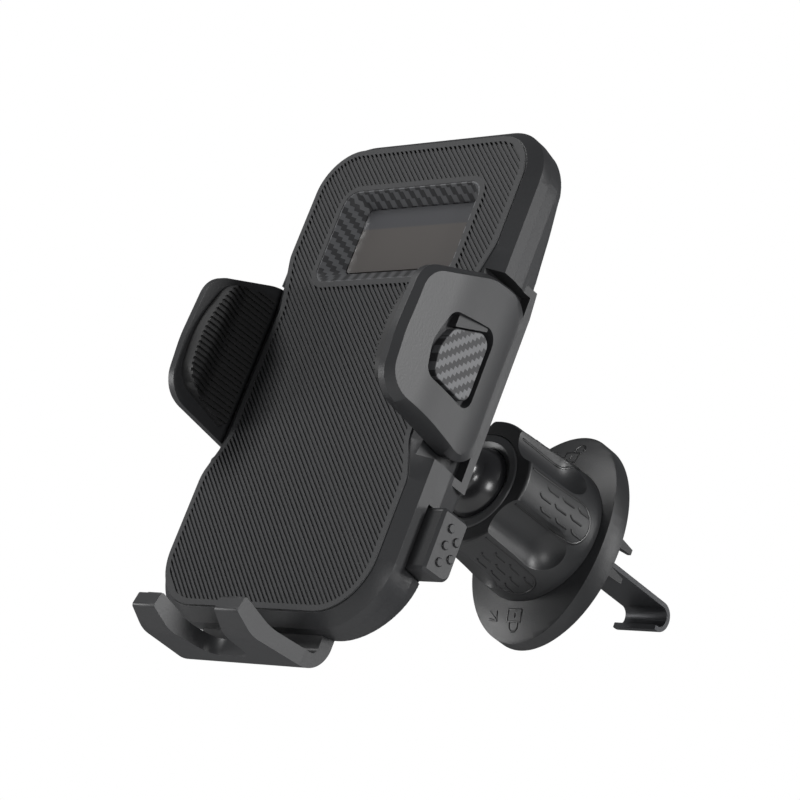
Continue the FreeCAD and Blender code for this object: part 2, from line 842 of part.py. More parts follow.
def carrier_front():
    return s.carrier_rear + s.carrier_thickness


def make_hook_carrier():
    """Sliding plug that holds the strip, with two pins that ride in the knob's groove."""
    body = new_body("hook_carrier")
    disc = front_sketch(body, "disc", s.carrier_rear, circles=[(0, 0, s.carrier_radius)])
    pad(body, "disc_pad", disc, s.carrier_thickness)
    middle = s.carrier_rear + s.carrier_thickness / 2
    pin = side_sketch(body, "pin", 0, circles=[(-middle, 0, s.carrier_pin_radius)])
    pad(body, "pins", pin, s.carrier_pin_reach * 2, middle=True)
    neck = s.hook_neck_width / 2
    seat = rectangle(-neck, neck, s.hook_top - s.hook_sheet, s.hook_top)
    pocket(body, "strip_seat", front_sketch(body, "seat", carrier_front() - 0.5, seat),
           s.carrier_thickness - 0.5)


def head_corners(inset):
    """The head's rounded outline, drawn in by an even inset."""
    half = s.head_half_width - inset
    top, bottom = s.head_top - inset, s.head_bottom - inset
    upper, lower = s.head_top_round - inset, s.head_bottom_round - inset
    return [(half, -bottom, lower), (half, top, upper), (-half, top, upper), (-half, -bottom, lower)]


def waisted_corners(out, rounds=True):
    """The pad's outline with its waist between the jaws, grown or drawn in by a margin."""
    half, waist = s.pad_half_width + out, s.waist_half_width + out
    soft = (s.waist_round,) if rounds else ()
    upper, lower = (s.pad_top_round + out,), (s.pad_bottom_round + out,)
    right = [
        (half, -(s.pad_bottom + out)) + lower,
        (half, -s.waist_bottom_start) + soft,
        (waist, -s.waist_bottom_end) + soft,
        (waist, s.waist_top_end) + soft,
        (half, s.waist_top_start) + soft,
        (half, s.pad_top + out) + upper,
    ]
    return right + [(-corner[0],) + corner[1:] for corner in reversed(right)]


def straight_corners():
    """The head's outline with the same corners as the waisted one, for the bevel."""
    half = s.head_half_width
    right = [
        (half, -s.head_bottom, s.head_bottom_round),
        (half, -s.waist_bottom_start),
        (half, -s.waist_bottom_end),
        (half, s.waist_top_end),
        (half, s.waist_top_start),
        (half, s.head_top, s.head_top_round),
    ]
    return right + [(-corner[0],) + corner[1:] for corner in reversed(right)]


def window_corners(inset):
    """The window's rounded rectangle."""
    half = s.window_half_width - inset
    return rectangle(-half, half, s.window_bottom + inset, s.window_top - inset, s.window_round - inset)


def notch_boxes(inner, grow):
    """The two side notches, from an inner half width out past the side."""
    out = s.head_half_width + 1
    low, high = -(s.notch_bottom + grow), s.notch_top + grow
    return [rectangle(inner, out, low, high), rectangle(-out, -inner, low, high)]


def housing_screw_spots(radius):
    """Four screws near the head's corners."""
    return [(s.upper_screw_side, s.upper_screw_height, radius),
            (-s.upper_screw_side, s.upper_screw_height, radius),
            (s.lower_screw_side, -s.lower_screw_height, radius),
            (-s.lower_screw_side, -s.lower_screw_height, radius)]


def wall_pads(body, depth, length):
    """Walls behind the two notches, between the inside and the notch."""
    inner = s.notch_half_width - s.shell_wall
    out = s.head_half_width - 1.0
    low, high = -(s.notch_bottom + s.shell_wall), s.notch_top + s.shell_wall
    blocks = [rectangle(inner, out, low, high), rectangle(-out, -inner, low, high)]
    pad(body, "notch_walls", front_sketch(body, "notch_wall_plan", depth, *blocks), length)


def strips(side, half, low, high):
    """Two upright strips, one each side of the middle."""
    return [rectangle(across - half, across + half, low, high) for across in (-side, side)]


def make_front_shell():
    """Front half of the head: bevelled edge, seat for the pad, window and the inner bosses."""
    body = new_body("front_shell")
    loft(body, "bevel", [
        front_sketch(body, "shoulder", s.head_shoulder, straight_corners()),
        front_sketch(body, "face", s.head_front, waisted_corners(s.pad_land, rounds=False)),
    ])
    rim = front_sketch(body, "rim", s.head_split, head_corners(0))
    pad(body, "side_wall", rim, s.head_shoulder - s.head_split)
    cavity_top = s.pad_back - s.shell_wall
    inside = front_sketch(body, "inside", s.head_split, head_corners(s.shell_wall))
    pocket(body, "cavity", inside, cavity_top - s.head_split, reverse=True)
    wall_pads(body, s.head_split, cavity_top - s.head_split)
    posts = front_sketch(body, "posts", s.head_split, circles=housing_screw_spots(s.screw_post_radius))
    pad(body, "posts_pad", posts, s.pad_back - 0.5 - s.head_split)
    boss_back = s.arm_front + 0.4
    boss = front_sketch(body, "axle_boss", boss_back, circles=[(0, s.pinion_height, s.axle_boss_radius)])
    pad(body, "axle_boss_pad", boss, s.pad_back - 0.5 - boss_back)
    ribs = strips(s.arm_rib_side, s.rib_half, arm_low() + 1, left_arm_low() + s.arm_thickness - 1)
    pad(body, "arm_ribs", front_sketch(body, "arm_rib_plan", s.arm_front + s.foot_gap, *ribs),
        cavity_top + 0.5 - s.arm_front - s.foot_gap)
    rails = strips(s.foot_rail_side, s.rib_half, -s.head_bottom + s.shell_wall, -s.foot_top - 3)
    rail_back = s.foot_plate_front + s.foot_gap
    pad(body, "foot_rails", front_sketch(body, "foot_rail_plan", rail_back, *rails),
        cavity_top + 0.5 - rail_back)
    seat = front_sketch(body, "pad_seat", s.head_front + 1, waisted_corners(0))
    pocket(body, "pad_seat_cut", seat, s.head_front + 1 - s.pad_back)
    window = front_sketch(body, "window", s.head_front + 1, window_corners(0))
    pocket(body, "window_cut", window, s.head_front + 2 - s.head_split)
    notches = front_sketch(body, "notches", s.head_front + 1, *notch_boxes(s.notch_half_width, 0))
    pocket(body, "notches_cut", notches, s.head_front + 2 - s.head_split)
    pilots = front_sketch(body, "pilots", s.head_split,
                          circles=housing_screw_spots(s.screw_radius + s.screw_clearance))
    pocket(body, "pilots_cut", pilots, s.pad_back - 0.9 - s.head_split, reverse=True)
    axle = front_sketch(body, "axle_hole", boss_back, circles=[(0, s.pinion_height, s.axle_radius)])
    pocket(body, "axle_hole_cut", axle, s.pad_back - 0.9 - boss_back, reverse=True)


def make_back_shell():
    """Rear half of the head: leaning sides, a rear facet, openings for jaws, buttons, foot and stud."""
    body = new_body("back_shell")
    loft(body, "outside", [
        front_sketch(body, "back", s.head_back, head_corners(s.facet_inset)),
        front_sketch(body, "facet_edge", s.head_facet, head_corners(s.side_lean)),
        front_sketch(body, "split", s.head_split, head_corners(0)),
    ])
    floor = s.head_back + s.shell_floor
    lean = (s.facet_inset - s.side_lean) * (s.head_facet - floor) / (s.head_facet - s.head_back)
    loft(body, "cavity", [
        front_sketch(body, "floor", floor, head_corners(s.side_lean + lean + s.shell_wall)),
        front_sketch(body, "inner_facet", s.head_facet, head_corners(s.side_lean + s.shell_wall)),
        front_sketch(body, "inner_split", s.head_split, head_corners(s.shell_wall)),
    ], cut=True)
    wall_pads(body, floor - 0.5, s.head_split - floor + 0.5)
    posts = front_sketch(body, "posts", floor - 0.5, circles=housing_screw_spots(s.screw_post_radius))
    pad(body, "posts_pad", posts, s.head_split - floor + 0.5)
    ribs = strips(s.arm_rib_side, s.rib_half, arm_low() - 0.5, left_arm_low() + s.arm_thickness + 0.5)
    pad(body, "arm_ribs", front_sketch(body, "arm_rib_plan", floor - 0.5, *ribs),
        s.arm_back - s.foot_gap - floor + 0.5)
    foot_side = s.foot_half_width + s.foot_gap
    guide_top = -(s.spring_height - s.spring_radius - 2.2)
    guide_low = -s.head_bottom + s.shell_wall
    guides = strips(foot_side + s.guide_width / 2, s.guide_width / 2, guide_low, guide_top)
    pad(body, "foot_guides", front_sketch(body, "foot_guide_plan", floor - 0.5, *guides),
        s.head_split - s.foot_gap - floor + 0.5)
    rails = strips(s.foot_rail_side, s.rib_half, guide_low, -s.foot_top - 3)
    pad(body, "foot_rails", front_sketch(body, "foot_rail_plan", floor - 0.5, *rails),
        s.foot_back - s.foot_gap - floor + 0.5)
    pin = front_sketch(body, "pawl_pin", floor - 0.5, circles=[pawl_pivot(s.pawl_pin_radius)])
    pad(body, "pawl_pin_pad", pin, s.pawl_front + 0.4 - floor + 0.5)
    collar = front_sketch(body, "pawl_collar", floor - 0.5, circles=[pawl_pivot(s.pawl_pin_radius + 1)])
    pad(body, "pawl_collar_pad", collar, s.pawl_back - s.foot_gap - floor + 0.5)
    notches = front_sketch(body, "notches", s.head_split + 1, *notch_boxes(s.notch_half_width, 0))
    pocket(body, "notches_cut", notches, s.head_split + 1 - s.notch_back)
    gap = s.arm_slot_clearance
    inner, outer = s.notch_half_width - s.shell_wall - 0.5, s.notch_half_width + 0.5
    depths = (s.arm_back - gap, s.arm_front + gap)
    for name, side, low in (("right_arm_slot", 1, arm_low()), ("left_arm_slot", -1, left_arm_low())):
        low_edge, high_edge = low - gap, low + s.arm_thickness + gap
        bounds = (inner, outer) if side > 0 else (-outer, -inner)
        slot = front_sketch(body, name + "_plan", depths[1], rectangle(*bounds, low_edge, high_edge))
        pocket(body, name, slot, depths[1] - depths[0])
    low_edge, high_edge = -s.button_bottom - s.button_gap, -s.button_top + s.button_gap
    out = s.head_half_width + 1
    button_plan = front_sketch(body, "button_plan", s.head_split + 1,
                               rectangle(s.button_inner, out, low_edge, high_edge),
                               rectangle(-out, -s.button_inner, low_edge, high_edge))
    pocket(body, "button_slots", button_plan, s.head_split + 1 - s.button_back + s.button_gap)
    seat_side = foot_side + s.guide_width - (s.button_travel + s.foot_gap)
    seats = side_sketch(body, "spring_seats", seat_side,
                        circles=[spring_spot(s.spring_radius + 0.2)])
    pocket(body, "right_spring_seat", seats, 6, reverse=True)
    seats = side_sketch(body, "left_spring_seats", -seat_side,
                        circles=[spring_spot(s.spring_radius + 0.2)])
    pocket(body, "left_spring_seat", seats, 6)
    foot_plan = front_sketch(body, "foot_plan", s.head_split + 1, rectangle(
        -foot_side, foot_side, -s.head_bottom - 1, -s.head_bottom + s.shell_wall + 3))
    pocket(body, "foot_slot", foot_plan, s.head_split + 1 - s.foot_back + s.foot_gap)
    hole = front_sketch(body, "stud_hole", floor, circles=[(0, 0, s.neck_radius + s.neck_clearance)])
    pocket(body, "stud_hole_cut", hole, s.shell_floor)
    holes = front_sketch(body, "screw_holes", s.head_split,
                         circles=housing_screw_spots(s.screw_radius + s.screw_clearance))
    pocket(body, "screw_holes_cut", holes, s.head_split - s.head_back)
    seats = front_sketch(body, "screw_seats", s.head_back + s.screw_head_height + 0.4,
                         circles=housing_screw_spots(s.screw_head_radius + s.screw_clearance))
    pocket(body, "screw_seats_cut", seats, s.screw_head_height + 0.4)


def make_housing_screws():
    """Four screws from the back shell into the front shell."""
    screws = []
    for index, (across, up, radius) in enumerate(housing_screw_spots(s.screw_radius)):
        body = new_body("housing_screw_%d" % (index + 1), node=False)
        head_back = s.head_back + 0.4
        head = front_sketch(body, "head", head_back, circles=[(across, up, s.screw_head_radius)])
        pad(body, "head_pad", head, s.screw_head_height)
        shank = front_sketch(body, "shank", head_back + s.screw_head_height, circles=[(across, up, radius)])
        pad(body, "shank_pad", shank, s.pad_back - 1.1 - head_back - s.screw_head_height)
        screws.append(body)
    group("housing_screws", screws)


def make_front_pad():
    """Ribbed rubber sheet: slanting grooves inside a flush rim, and a flush rim round the window."""
    blank = new_body("pad_blank", node=False)
    outline = front_sketch(blank, "outline", s.pad_back, waisted_corners(0))
    pad(blank, "sheet", outline, s.pad_front - s.pad_back)
    window = front_sketch(blank, "window", s.pad_front, window_corners(0))
    pocket(blank, "window_cut", window, s.pad_front - s.pad_back)
    field = new_body("rib_field", node=False)
    ribbed = front_sketch(field, "ribbed", s.pad_front - s.rib_depth, waisted_corners(-s.pad_rim))
    pad(field, "ribbed_pad", ribbed, s.rib_depth + 0.5)
    rim = front_sketch(field, "window_rim", s.pad_front + 0.5, window_corners(-s.pad_rim))
    pocket(field, "window_rim_cut", rim, s.rib_depth + 0.5)
    grooves = document.addObject("Part::Feature", "rib_grooves")
    grooves.Shape = rib_cutters()
    cutters = document.addObject("Part::Common", "pad_grooves")
    cutters.Base = field
    cutters.Tool = grooves
    ribbed_pad = document.addObject("Part::Cut", "front_pad")
    ribbed_pad.Label = "front_pad"
    ribbed_pad.Base = blank
    ribbed_pad.Tool = cutters
    nodes["front_pad"] = ribbed_pad


def rib_cutters():
    """Evenly spaced bars at 45 degrees across the pad, one for each groove."""
    pitch, width = value_of(s.rib_pitch), value_of(s.rib_groove)
    half, top, bottom = value_of(s.pad_half_width), value_of(s.pad_top), value_of(s.pad_bottom)
    span = (2 * half + top + bottom) / math.sqrt(2)
    count = int(span / pitch)
    back = value_of(s.pad_front - s.rib_depth) - 0.2
    centre = Vector(0, -back, (top - bottom) / 2)
    bars = []
    for index in range(count):
        shift = (index - (count - 1) / 2) * pitch
        bar = Part.makeBox(span, value_of(s.rib_depth) + 1, width, Vector(-span / 2, -value_of(s.rib_depth) - 1,
                                                                          shift - width / 2))
        bar.rotate(Vector(0, 0, 0), Vector(0, 1, 0), 45)
        bar.translate(centre)
        bars.append(bar)
    return Part.makeCompound(bars)


def make_window_frame():
    """Bezel that slopes in to the plate and closes the window behind it."""
    body = new_body("window_frame")
    outside = front_sketch(body, "outside", s.bezel_back, window_corners(0))
    pad(body, "block", outside, s.bezel_front - s.bezel_back)
    half = s.plate_half_width + s.plate_gap
    low, high = s.plate_bottom - s.plate_gap, s.plate_top + s.plate_gap
    foot = rectangle(-half, half, low, high, 1.2)
    loft(body, "slope", [
        front_sketch(body, "slope_foot", s.bezel_foot, foot),
        front_sketch(body, "slope_mouth", s.bezel_front, window_corners(s.bezel_lip)),
    ], cut=True)
    well = front_sketch(body, "well", s.bezel_foot, foot)
    pocket(body, "well_cut", well, s.bezel_foot - s.bezel_floor)


def make_window_plate():
    """Smoked plate on the bezel's floor."""
    body = new_body("window_plate")
    outline = rectangle(-s.plate_half_width, s.plate_half_width, s.plate_bottom, s.plate_top, 0.9)
    pad(body, "plate", front_sketch(body, "outline", s.bezel_floor, outline), s.plate_thickness)


def make_stud_retainer():
    """Cap over the stud's flange, fixed to the back shell's floor."""
    body = new_body("stud_retainer")
    floor = s.head_back + s.shell_floor
    flange_front = floor + 0.1 + s.flange_thickness
    cap = front_sketch(body, "cap", floor, circles=[(0, 0, s.retainer_radius)])
    pad(body, "cap_pad", cap, flange_front + 0.1 + s.retainer_top - floor)
    well = front_sketch(body, "well", floor, circles=[(0, 0, s.flange_radius + s.neck_clearance)])
    pocket(body, "well_cut", well, flange_front + 0.1 - floor, reverse=True)


def make_gear_axle():
    """Steel pin in the front shell's boss."""
    body = new_body("gear_axle")
    back = s.arm_back - 0.2
    pin = front_sketch(body, "pin", back, circles=[(0, s.pinion_height, s.axle_radius)])
    pad(body, "pin_pad", pin, s.pad_back - 0.9 - back)


def arm_low():
    """Lower edge of the right arm, which runs under the pinion."""
    pitch_radius = s.gear_module * s.gear_teeth / 2
    return s.pinion_height - pitch_radius - s.tooth_dedendum - s.arm_thickness


def left_arm_low():
    """Lower edge of the left arm, which is the right one turned over about the pinion."""
    return 2 * s.pinion_height - arm_low() - s.arm_thickness


def make_rack_arm(name, left):
    """Toothed arm of one jaw. The left one is the same piece turned half round the pinion's axis."""
    body = new_body(name)
    low = arm_low()
    high = low + s.arm_thickness
    end = s.jaw_inner + s.jaw_socket
    bar = front_sketch(body, "bar", s.arm_back, rectangle(-s.arm_reach, end, low, high))
    pad(body, "bar_pad", bar, s.arm_front - s.arm_back)
    pitch = s.gear_module * math.pi
    slope = math.tan(math.radians(value_of(s.pressure_angle)))
    half = pitch / 4 - s.tooth_backlash / 4
    root_half, tip_half = half + s.tooth_dedendum * slope, half - s.tooth_addendum * slope
    first = pitch * 1.5
    tip = high + s.tooth_dedendum + s.tooth_addendum
    tooth = front_sketch(body, "tooth", s.arm_back, [
        (first - root_half, high - 0.2),
        (first + root_half, high - 0.2),
        (first + root_half, high),
        (first + tip_half, tip),
        (first - tip_half, tip),
        (first - root_half, high),
    ])
    one = pad(body, "tooth_pad", tooth, s.arm_front - s.arm_back)
    pattern = repeated(body, "teeth", one, "X_Axis", pitch * (s.rack_teeth - 1), s.rack_teeth)
    pattern.Reversed = True
    document.recompute()
    if left:
        body.Placement = Placement(Vector(0, 0, 0), Rotation(Vector(0, 1, 0), 180))
        bind(body, "Placement.Base.z", 2 * s.pinion_height)


def make_pinion():
    """Involute pinion between the two racks, with a tooth straight up and one straight down."""
    teeth = int(value_of(s.gear_teeth))
    module = value_of(s.gear_module)
    pitch_radius = module * teeth / 2
    pressure = math.radians(value_of(s.pressure_angle))
    base_radius = pitch_radius * math.cos(pressure)
    tip_radius = pitch_radius + value_of(s.tooth_addendum)
    root_radius = pitch_radius - value_of(s.tooth_dedendum)
    half_pitch = (math.pi * module / 2 - value_of(s.tooth_backlash) / 2) / 2 / pitch_radius

    def involute(angle):
        return math.tan(angle) - angle

    def half_angle(radius):
        spread = math.acos(min(1.0, base_radius / radius))
        return half_pitch + involute(pressure) - involute(spread)

    def spot(radius, angle):
        return Vector(radius * math.cos(angle), 0, radius * math.sin(angle))

    middle_radius = (base_radius + tip_radius) / 2
    edges = []
    step = 2 * math.pi / teeth
    for index in range(teeth):
        centre = math.pi / 2 + index * step
        flank = [(radius, half_angle(radius)) for radius in (base_radius, middle_radius, tip_radius)]
        rise = [spot(radius, centre - angle) for radius, angle in flank]
        fall = [spot(radius, centre + angle) for radius, angle in reversed(flank)]
        root_in = spot(root_radius, centre - flank[0][1])
        root_out = spot(root_radius, centre + flank[0][1])
        next_root = spot(root_radius, centre + step - flank[0][1])
        edges += [
            Part.LineSegment(root_in, rise[0]).toShape(),
            Part.Arc(*rise).toShape(),
            Part.Arc(rise[2], spot(tip_radius, centre), fall[0]).toShape(),
            Part.Arc(*fall).toShape(),
            Part.LineSegment(fall[2], root_out).toShape(),
            Part.Arc(root_out, spot(root_radius, centre + step / 2), next_root).toShape(),
        ]
    back, front = value_of(s.arm_back) - 0.2, value_of(s.arm_front) + 0.2
    gear = Part.Face(Part.Wire(edges)).extrude(Vector(0, -(front - back), 0))
    bore = Part.makeCylinder(value_of(s.axle_radius + s.axle_clearance), front - back,
                             Vector(0, 0, 0), Vector(0, -1, 0))
    piece = document.addObject("Part::Feature", "pinion_gear")
    piece.Label = "pinion_gear"
    piece.Shape = gear.cut(bore)
    piece.Placement = Placement(Vector(0, -back, value_of(s.pinion_height)), Rotation())
    nodes["pinion_gear"] = piece


def make_opening_spring():
    """Flat spiral spring round the axle's boss: two turns of strip that open the jaws."""
    start = value_of(s.axle_boss_radius) + 0.05
    strip, rise = value_of(s.opening_spring_strip), value_of(s.opening_spring_rise)
    turns = value_of(s.opening_spring_turns)
    steps = int(turns * 12)

    def spiral(offset):
        points = []
        for index in range(steps + 1):
            angle = 2 * math.pi * turns * index / steps
            radius = start + offset + rise * angle / (2 * math.pi)
            points.append(Vector(radius * math.cos(angle), 0, radius * math.sin(angle)))
        curve = Part.BSplineCurve()
        curve.interpolate(points)
        return curve.toShape(), points

    inner, inner_points = spiral(0)
    outer, outer_points = spiral(strip)
    ends = [Part.LineSegment(inner_points[index], outer_points[index]).toShape() for index in (0, -1)]
    wire = Part.Wire(Part.__sortEdges__([inner, ends[1], outer, ends[0]]))
    back = value_of(s.arm_front) + 0.6
    depth = value_of(s.bezel_floor) - back
    piece = document.addObject("Part::Feature", "opening_spring")
    piece.Label = "opening_spring"
    piece.Shape = Part.Face(wire).extrude(Vector(0, -depth, 0))
    piece.Placement = Placement(Vector(0, -back, value_of(s.pinion_height)), Rotation())
    nodes["opening_spring"] = piece


def jaw_corners(inset):
    """The jaw plate's outline in (y, z): tall and slanting, with a bowed front edge."""
    front_round, rear_round = s.jaw_front_round - inset, s.jaw_rear_round - inset
    return [
        (-(s.jaw_brow - inset), s.jaw_brow_height - inset, front_round),
        (-(s.jaw_nose - inset), s.jaw_nose_height, s.jaw_nose_round),
        (-(s.jaw_chin - inset), -(s.jaw_chin_height - inset), front_round),
        (-(s.jaw_heel + inset), -(s.jaw_heel_height - inset), rear_round),
        (-(s.jaw_rear + inset), s.jaw_rear_height - inset, rear_round),
    ]


def recess_corners(inset):
    """The shield-shaped recess in the jaw's outer face."""
    corner = s.recess_round - inset / 2
    return [
        (-(s.recess_brow - inset), s.recess_brow_height - inset, corner),
        (-(s.recess_chin - inset), -(s.recess_chin_height - inset), corner),
        (-(s.recess_heel + inset), -(s.recess_heel_height - inset), corner),
        (-(s.recess_rear + inset), s.recess_rear_height - inset, corner),
    ]


def make_jaw_shell(name, low, node):
    """Curved side plate: crowned outside, rolled off at the rear, with a socket for its arm."""
    body = new_body(name, node)
    plate = side_sketch(body, "plate", s.jaw_inner, jaw_corners(0))
    pad(body, "plate_pad", plate, s.jaw_crown - s.jaw_inner)
    out = s.jaw_crown + 1
    front, rear = -(s.jaw_nose + 1), -(s.jaw_heel - 2)
    top = s.jaw_rear_height + 1
    crown = plan_sketch(body, "crown", top, [
        (s.jaw_edge, front),
        (s.jaw_crown + 0.3, (front + rear) / 2 - 2, 60),
        (s.jaw_edge + 0.3, rear - 7, 25),
        (s.jaw_edge - s.jaw_rear_drop, rear),
        (out, rear),
        (out, front),
    ])
    pocket(body, "crown_cut", crown, top + s.jaw_heel_height + 1)
    recess = side_sketch(body, "recess", s.jaw_recess_floor, recess_corners(0))
    pocket(body, "recess_cut", recess, s.jaw_crown - s.jaw_recess_floor + 1, reverse=True)
    socket = side_sketch(body, "socket", s.jaw_inner, rectangle(
        -s.arm_front, -s.arm_back, low, low + s.arm_thickness))
    pocket(body, "socket_cut", socket, s.jaw_socket, reverse=True)
    return body


def make_jaw_inlay():
    """Island set into the recess."""
    body = new_body("right_jaw_inlay")
    outline = side_sketch(body, "outline", s.jaw_recess_floor, recess_corners(s.inlay_inset))
    pad(body, "island", outline, s.inlay_thickness)


def make_jaw_pad():
    """Ribbed rubber grip on the jaw's inner face with a rising front lip."""
    body = new_body("right_jaw_pad")
    rear = -s.jaw_pad_back
    corners = jaw_corners(s.jaw_pad_inset)
    outline = side_sketch(body, "outline", s.jaw_pad_crest, [
        corners[0],
        corners[1],
        corners[2],
        (rear, -s.jaw_pad_bottom, 1.0),
        (rear, s.jaw_pad_top, 1.0),
    ])
    pad(body, "block", outline, s.jaw_inner - s.jaw_pad_crest)

    def hollow(deeper):
        side = s.jaw_pad_hollow + deeper
        crest = s.jaw_pad_crest + deeper
        return [
            (side, rear + 1),
            (side, -s.jaw_pad_bend, 5),
            (crest, -s.jaw_pad_rise, 3),
            (crest, -s.jaw_nose),
            (crest - 3, -s.jaw_nose),
            (crest - 3, rear + 1),
        ]

    top = s.jaw_rear_height + 1
    hollow_plan = plan_sketch(body, "hollow", top, hollow(0))
    pocket(body, "hollow_cut", hollow_plan, top + s.jaw_heel_height + 1)
    span = value_of(s.jaw_rib_start + s.jaw_pad_top)
    count = int(span / value_of(s.jaw_rib_pitch)) + 1
    groove = plan_sketch(body, "groove", s.jaw_rib_groove - s.jaw_rib_start, hollow(s.jaw_rib_depth))
    cut = pocket(body, "groove_cut", groove, s.jaw_rib_groove)
    repeated(body, "grooves", cut, "Z_Axis", s.jaw_rib_pitch * (count - 1), count)
    return body


def pawl_pivot(radius):
    return (s.pawl_side, -s.pawl_height, radius)


def make_lock_pawl():
    """Lever that wedges the lower arm and is swung clear by the right button."""
    body = new_body("lock_pawl")
    tip = arm_low() - s.pawl_tip_gap
    half, end = s.pawl_half_width, s.pawl_tip_half
    lever = front_sketch(body, "lever", s.pawl_back, [
        (s.pawl_tip_side + end, tip, 0.4),
        (s.pawl_tip_side - end, tip, 0.4),
        (s.pawl_side - half, -(s.pawl_height - 2), 2.0),
        (s.pawl_side - half, -(s.pawl_height + 2), 2.0),
        (s.pawl_foot_side - end, -(s.pawl_foot_low + 0.7), 0.6),
        (s.pawl_foot_side + end, -(s.pawl_foot_low - 0.7), 0.6),
        (s.pawl_side + half + 0.9, -(s.pawl_height + 1), 2.0),
    ])
    pad(body, "lever_pad", lever, s.pawl_front - s.pawl_back)
    hole = front_sketch(body, "hole", s.pawl_front, circles=[pawl_pivot(s.pawl_pin_radius + s.pawl_pin_clearance)])
    pocket(body, "hole_cut", hole, s.pawl_front - s.pawl_back)


def spring_spot(radius):
    return (-(s.button_back + s.button_front) / 2, -s.spring_height, radius)


def make_button(name):
    """Side button with a plunger inside, a bore for its spring and five studs outside."""
    body = new_body(name)
    block = side_sketch(body, "block", s.button_inner, [
        (-s.button_front, -s.button_top, 0.9),
        (-s.button_front, -s.button_bottom, 0.9),
        (-s.button_back, -s.button_bottom, 2.5),
        (-s.button_back, -s.button_top, 1.2),
    ])
    pad(body, "block_pad", block, s.button_outer - s.button_inner)
    outer = value_of(s.button_outer)
    eased(body, "outer_bevel", lambda edge: edge.BoundBox.XMin > outer - 0.01, 0.6,
          "PartDesign::Chamfer")
    plunger = side_sketch(body, "plunger", s.button_inner, rectangle(
        -s.plunger_front, -s.plunger_back, -s.plunger_top - s.plunger_height, -s.plunger_top))
    pad(body, "plunger_pad", plunger, s.plunger_reach, reverse=True)
    bore = side_sketch(body, "bore", s.button_inner, circles=[spring_spot(s.spring_radius + 0.2)])
    pocket(body, "bore_cut", bore, 4.0, reverse=True)
    rows = ((s.stud_front_row, (-1, 0, 1)), (s.stud_rear_row, (-0.5, 0.5)))
    spots = []
    for row, steps in rows:
        for step in steps:
            spots.append((-row, -(s.stud_middle + s.stud_spacing * step), s.stud_radius))
    studs = side_sketch(body, "studs", s.button_outer - s.stud_sink, circles=spots)
    pad(body, "studs_pad", studs, s.stud_sink + s.stud_height)
    return body


def make_button_spring(name):
    """Coil between the button's bore and its seat on the foot's guide."""
    start = value_of(s.foot_half_width + s.foot_gap + s.guide_width) - 0.05
    end = value_of(s.button_inner) + 3.95
    wire, radius = value_of(s.spring_wire), value_of(s.spring_radius - s.spring_wire)
    turns = int(value_of(s.spring_turns))
    length = end - start - 2 * wire
    helix = Part.makeHelix(length / turns, length, radius)
    section = Part.Wire(Part.makeCircle(wire, Vector(radius, 0, 0), Vector(0, 1, 0)))
    coil = Part.Wire(helix).makePipeShell([section], True, True)
    piece = document.addObject("Part::Feature", name)
    piece.Label = name
    piece.Shape = coil
    middle = spring_spot(0)
    spot = Vector(start + wire, value_of(middle[0]), value_of(middle[1]))
    piece.Placement = Placement(spot, Rotation(Vector(0, 1, 0), 90))
    nodes[name] = piece
    return piece


def make_foot():
    """Two fingers that curl up in front, on a plate that slides in the back shell."""
    body = new_body("foot")
    back, front = -s.foot_back, -s.foot_plate_front
    low, seat = -s.foot_bottom, -s.foot_seat
    profile = side_sketch(body, "profile", 0, [
        (back, -s.foot_top),
        (front, -s.foot_top),
        (front, seat, 1.6),
        (-(s.foot_reach - s.finger_rise), seat, 12),
        (-(s.foot_reach - s.finger_lip), -s.foot_tip, 0.5),
        (-s.foot_reach, -s.foot_tip - s.finger_front, 0.8),
        (-(s.foot_reach - s.finger_chin), low, 7),
        (back, low, 6.4),
    ])
    pad(body, "plate", profile, s.foot_half_width * 2, middle=True)
    tip, root = -(s.foot_reach + 1), -s.finger_root_depth
    notch = plan_sketch(body, "notch", -40, [
        (s.finger_inner_tip, tip),
        (s.finger_root, root, 3.5),
        (-s.finger_root, root, 3.5),
        (-s.finger_inner_tip, tip),
    ])
    pocket(body, "notch_cut", notch, 30)
    out = s.foot_half_width + 2
    shoulder = -(s.foot_plate_front + s.finger_shoulder)
    flanks = []
    for side in (1, -1):
        flank = [
            (side * s.finger_outer_tip, tip),
            (side * out, tip),
            (side * out, shoulder),
            (side * s.foot_half_width, shoulder),
        ]
        flanks.append(flank if side > 0 else list(reversed(flank)))
    pocket(body, "flanks_cut", plan_sketch(body, "flanks", -40, *flanks), 30)


def make_foot_liner():
    """Thin rubber strips on the fingers where the phone stands."""
    body = new_body("foot_liner")
    seat = -s.foot_seat
    thick = s.liner_thickness
    rear = -(s.foot_plate_front + s.finger_shoulder + 0.4)
    bend = s.foot_reach - s.finger_rise
    slope = (s.foot_seat - s.foot_tip) / (s.finger_rise - s.finger_lip)
    front = s.foot_reach - s.finger_lip - s.liner_front_gap
    under = seat + slope * (front - bend)
    profile = side_sketch(body, "strip", 0, [
        (rear, seat),
        (rear, seat + thick),
        (-(bend + 0.1), seat + thick, 11.4),
        (-(front - 0.2), under + thick),
        (-front, under),
        (-bend, seat, 12),
    ])
    inner = s.finger_inner_tip + s.liner_margin
    pad(body, "strips", profile, (s.finger_outer_tip - s.liner_margin) * 2, middle=True)
    gap = plan_sketch(body, "gap", -40, rectangle(-inner, inner, -(s.foot_reach + 1), rear + 1))
    pocket(body, "gap_cut", gap, 30)


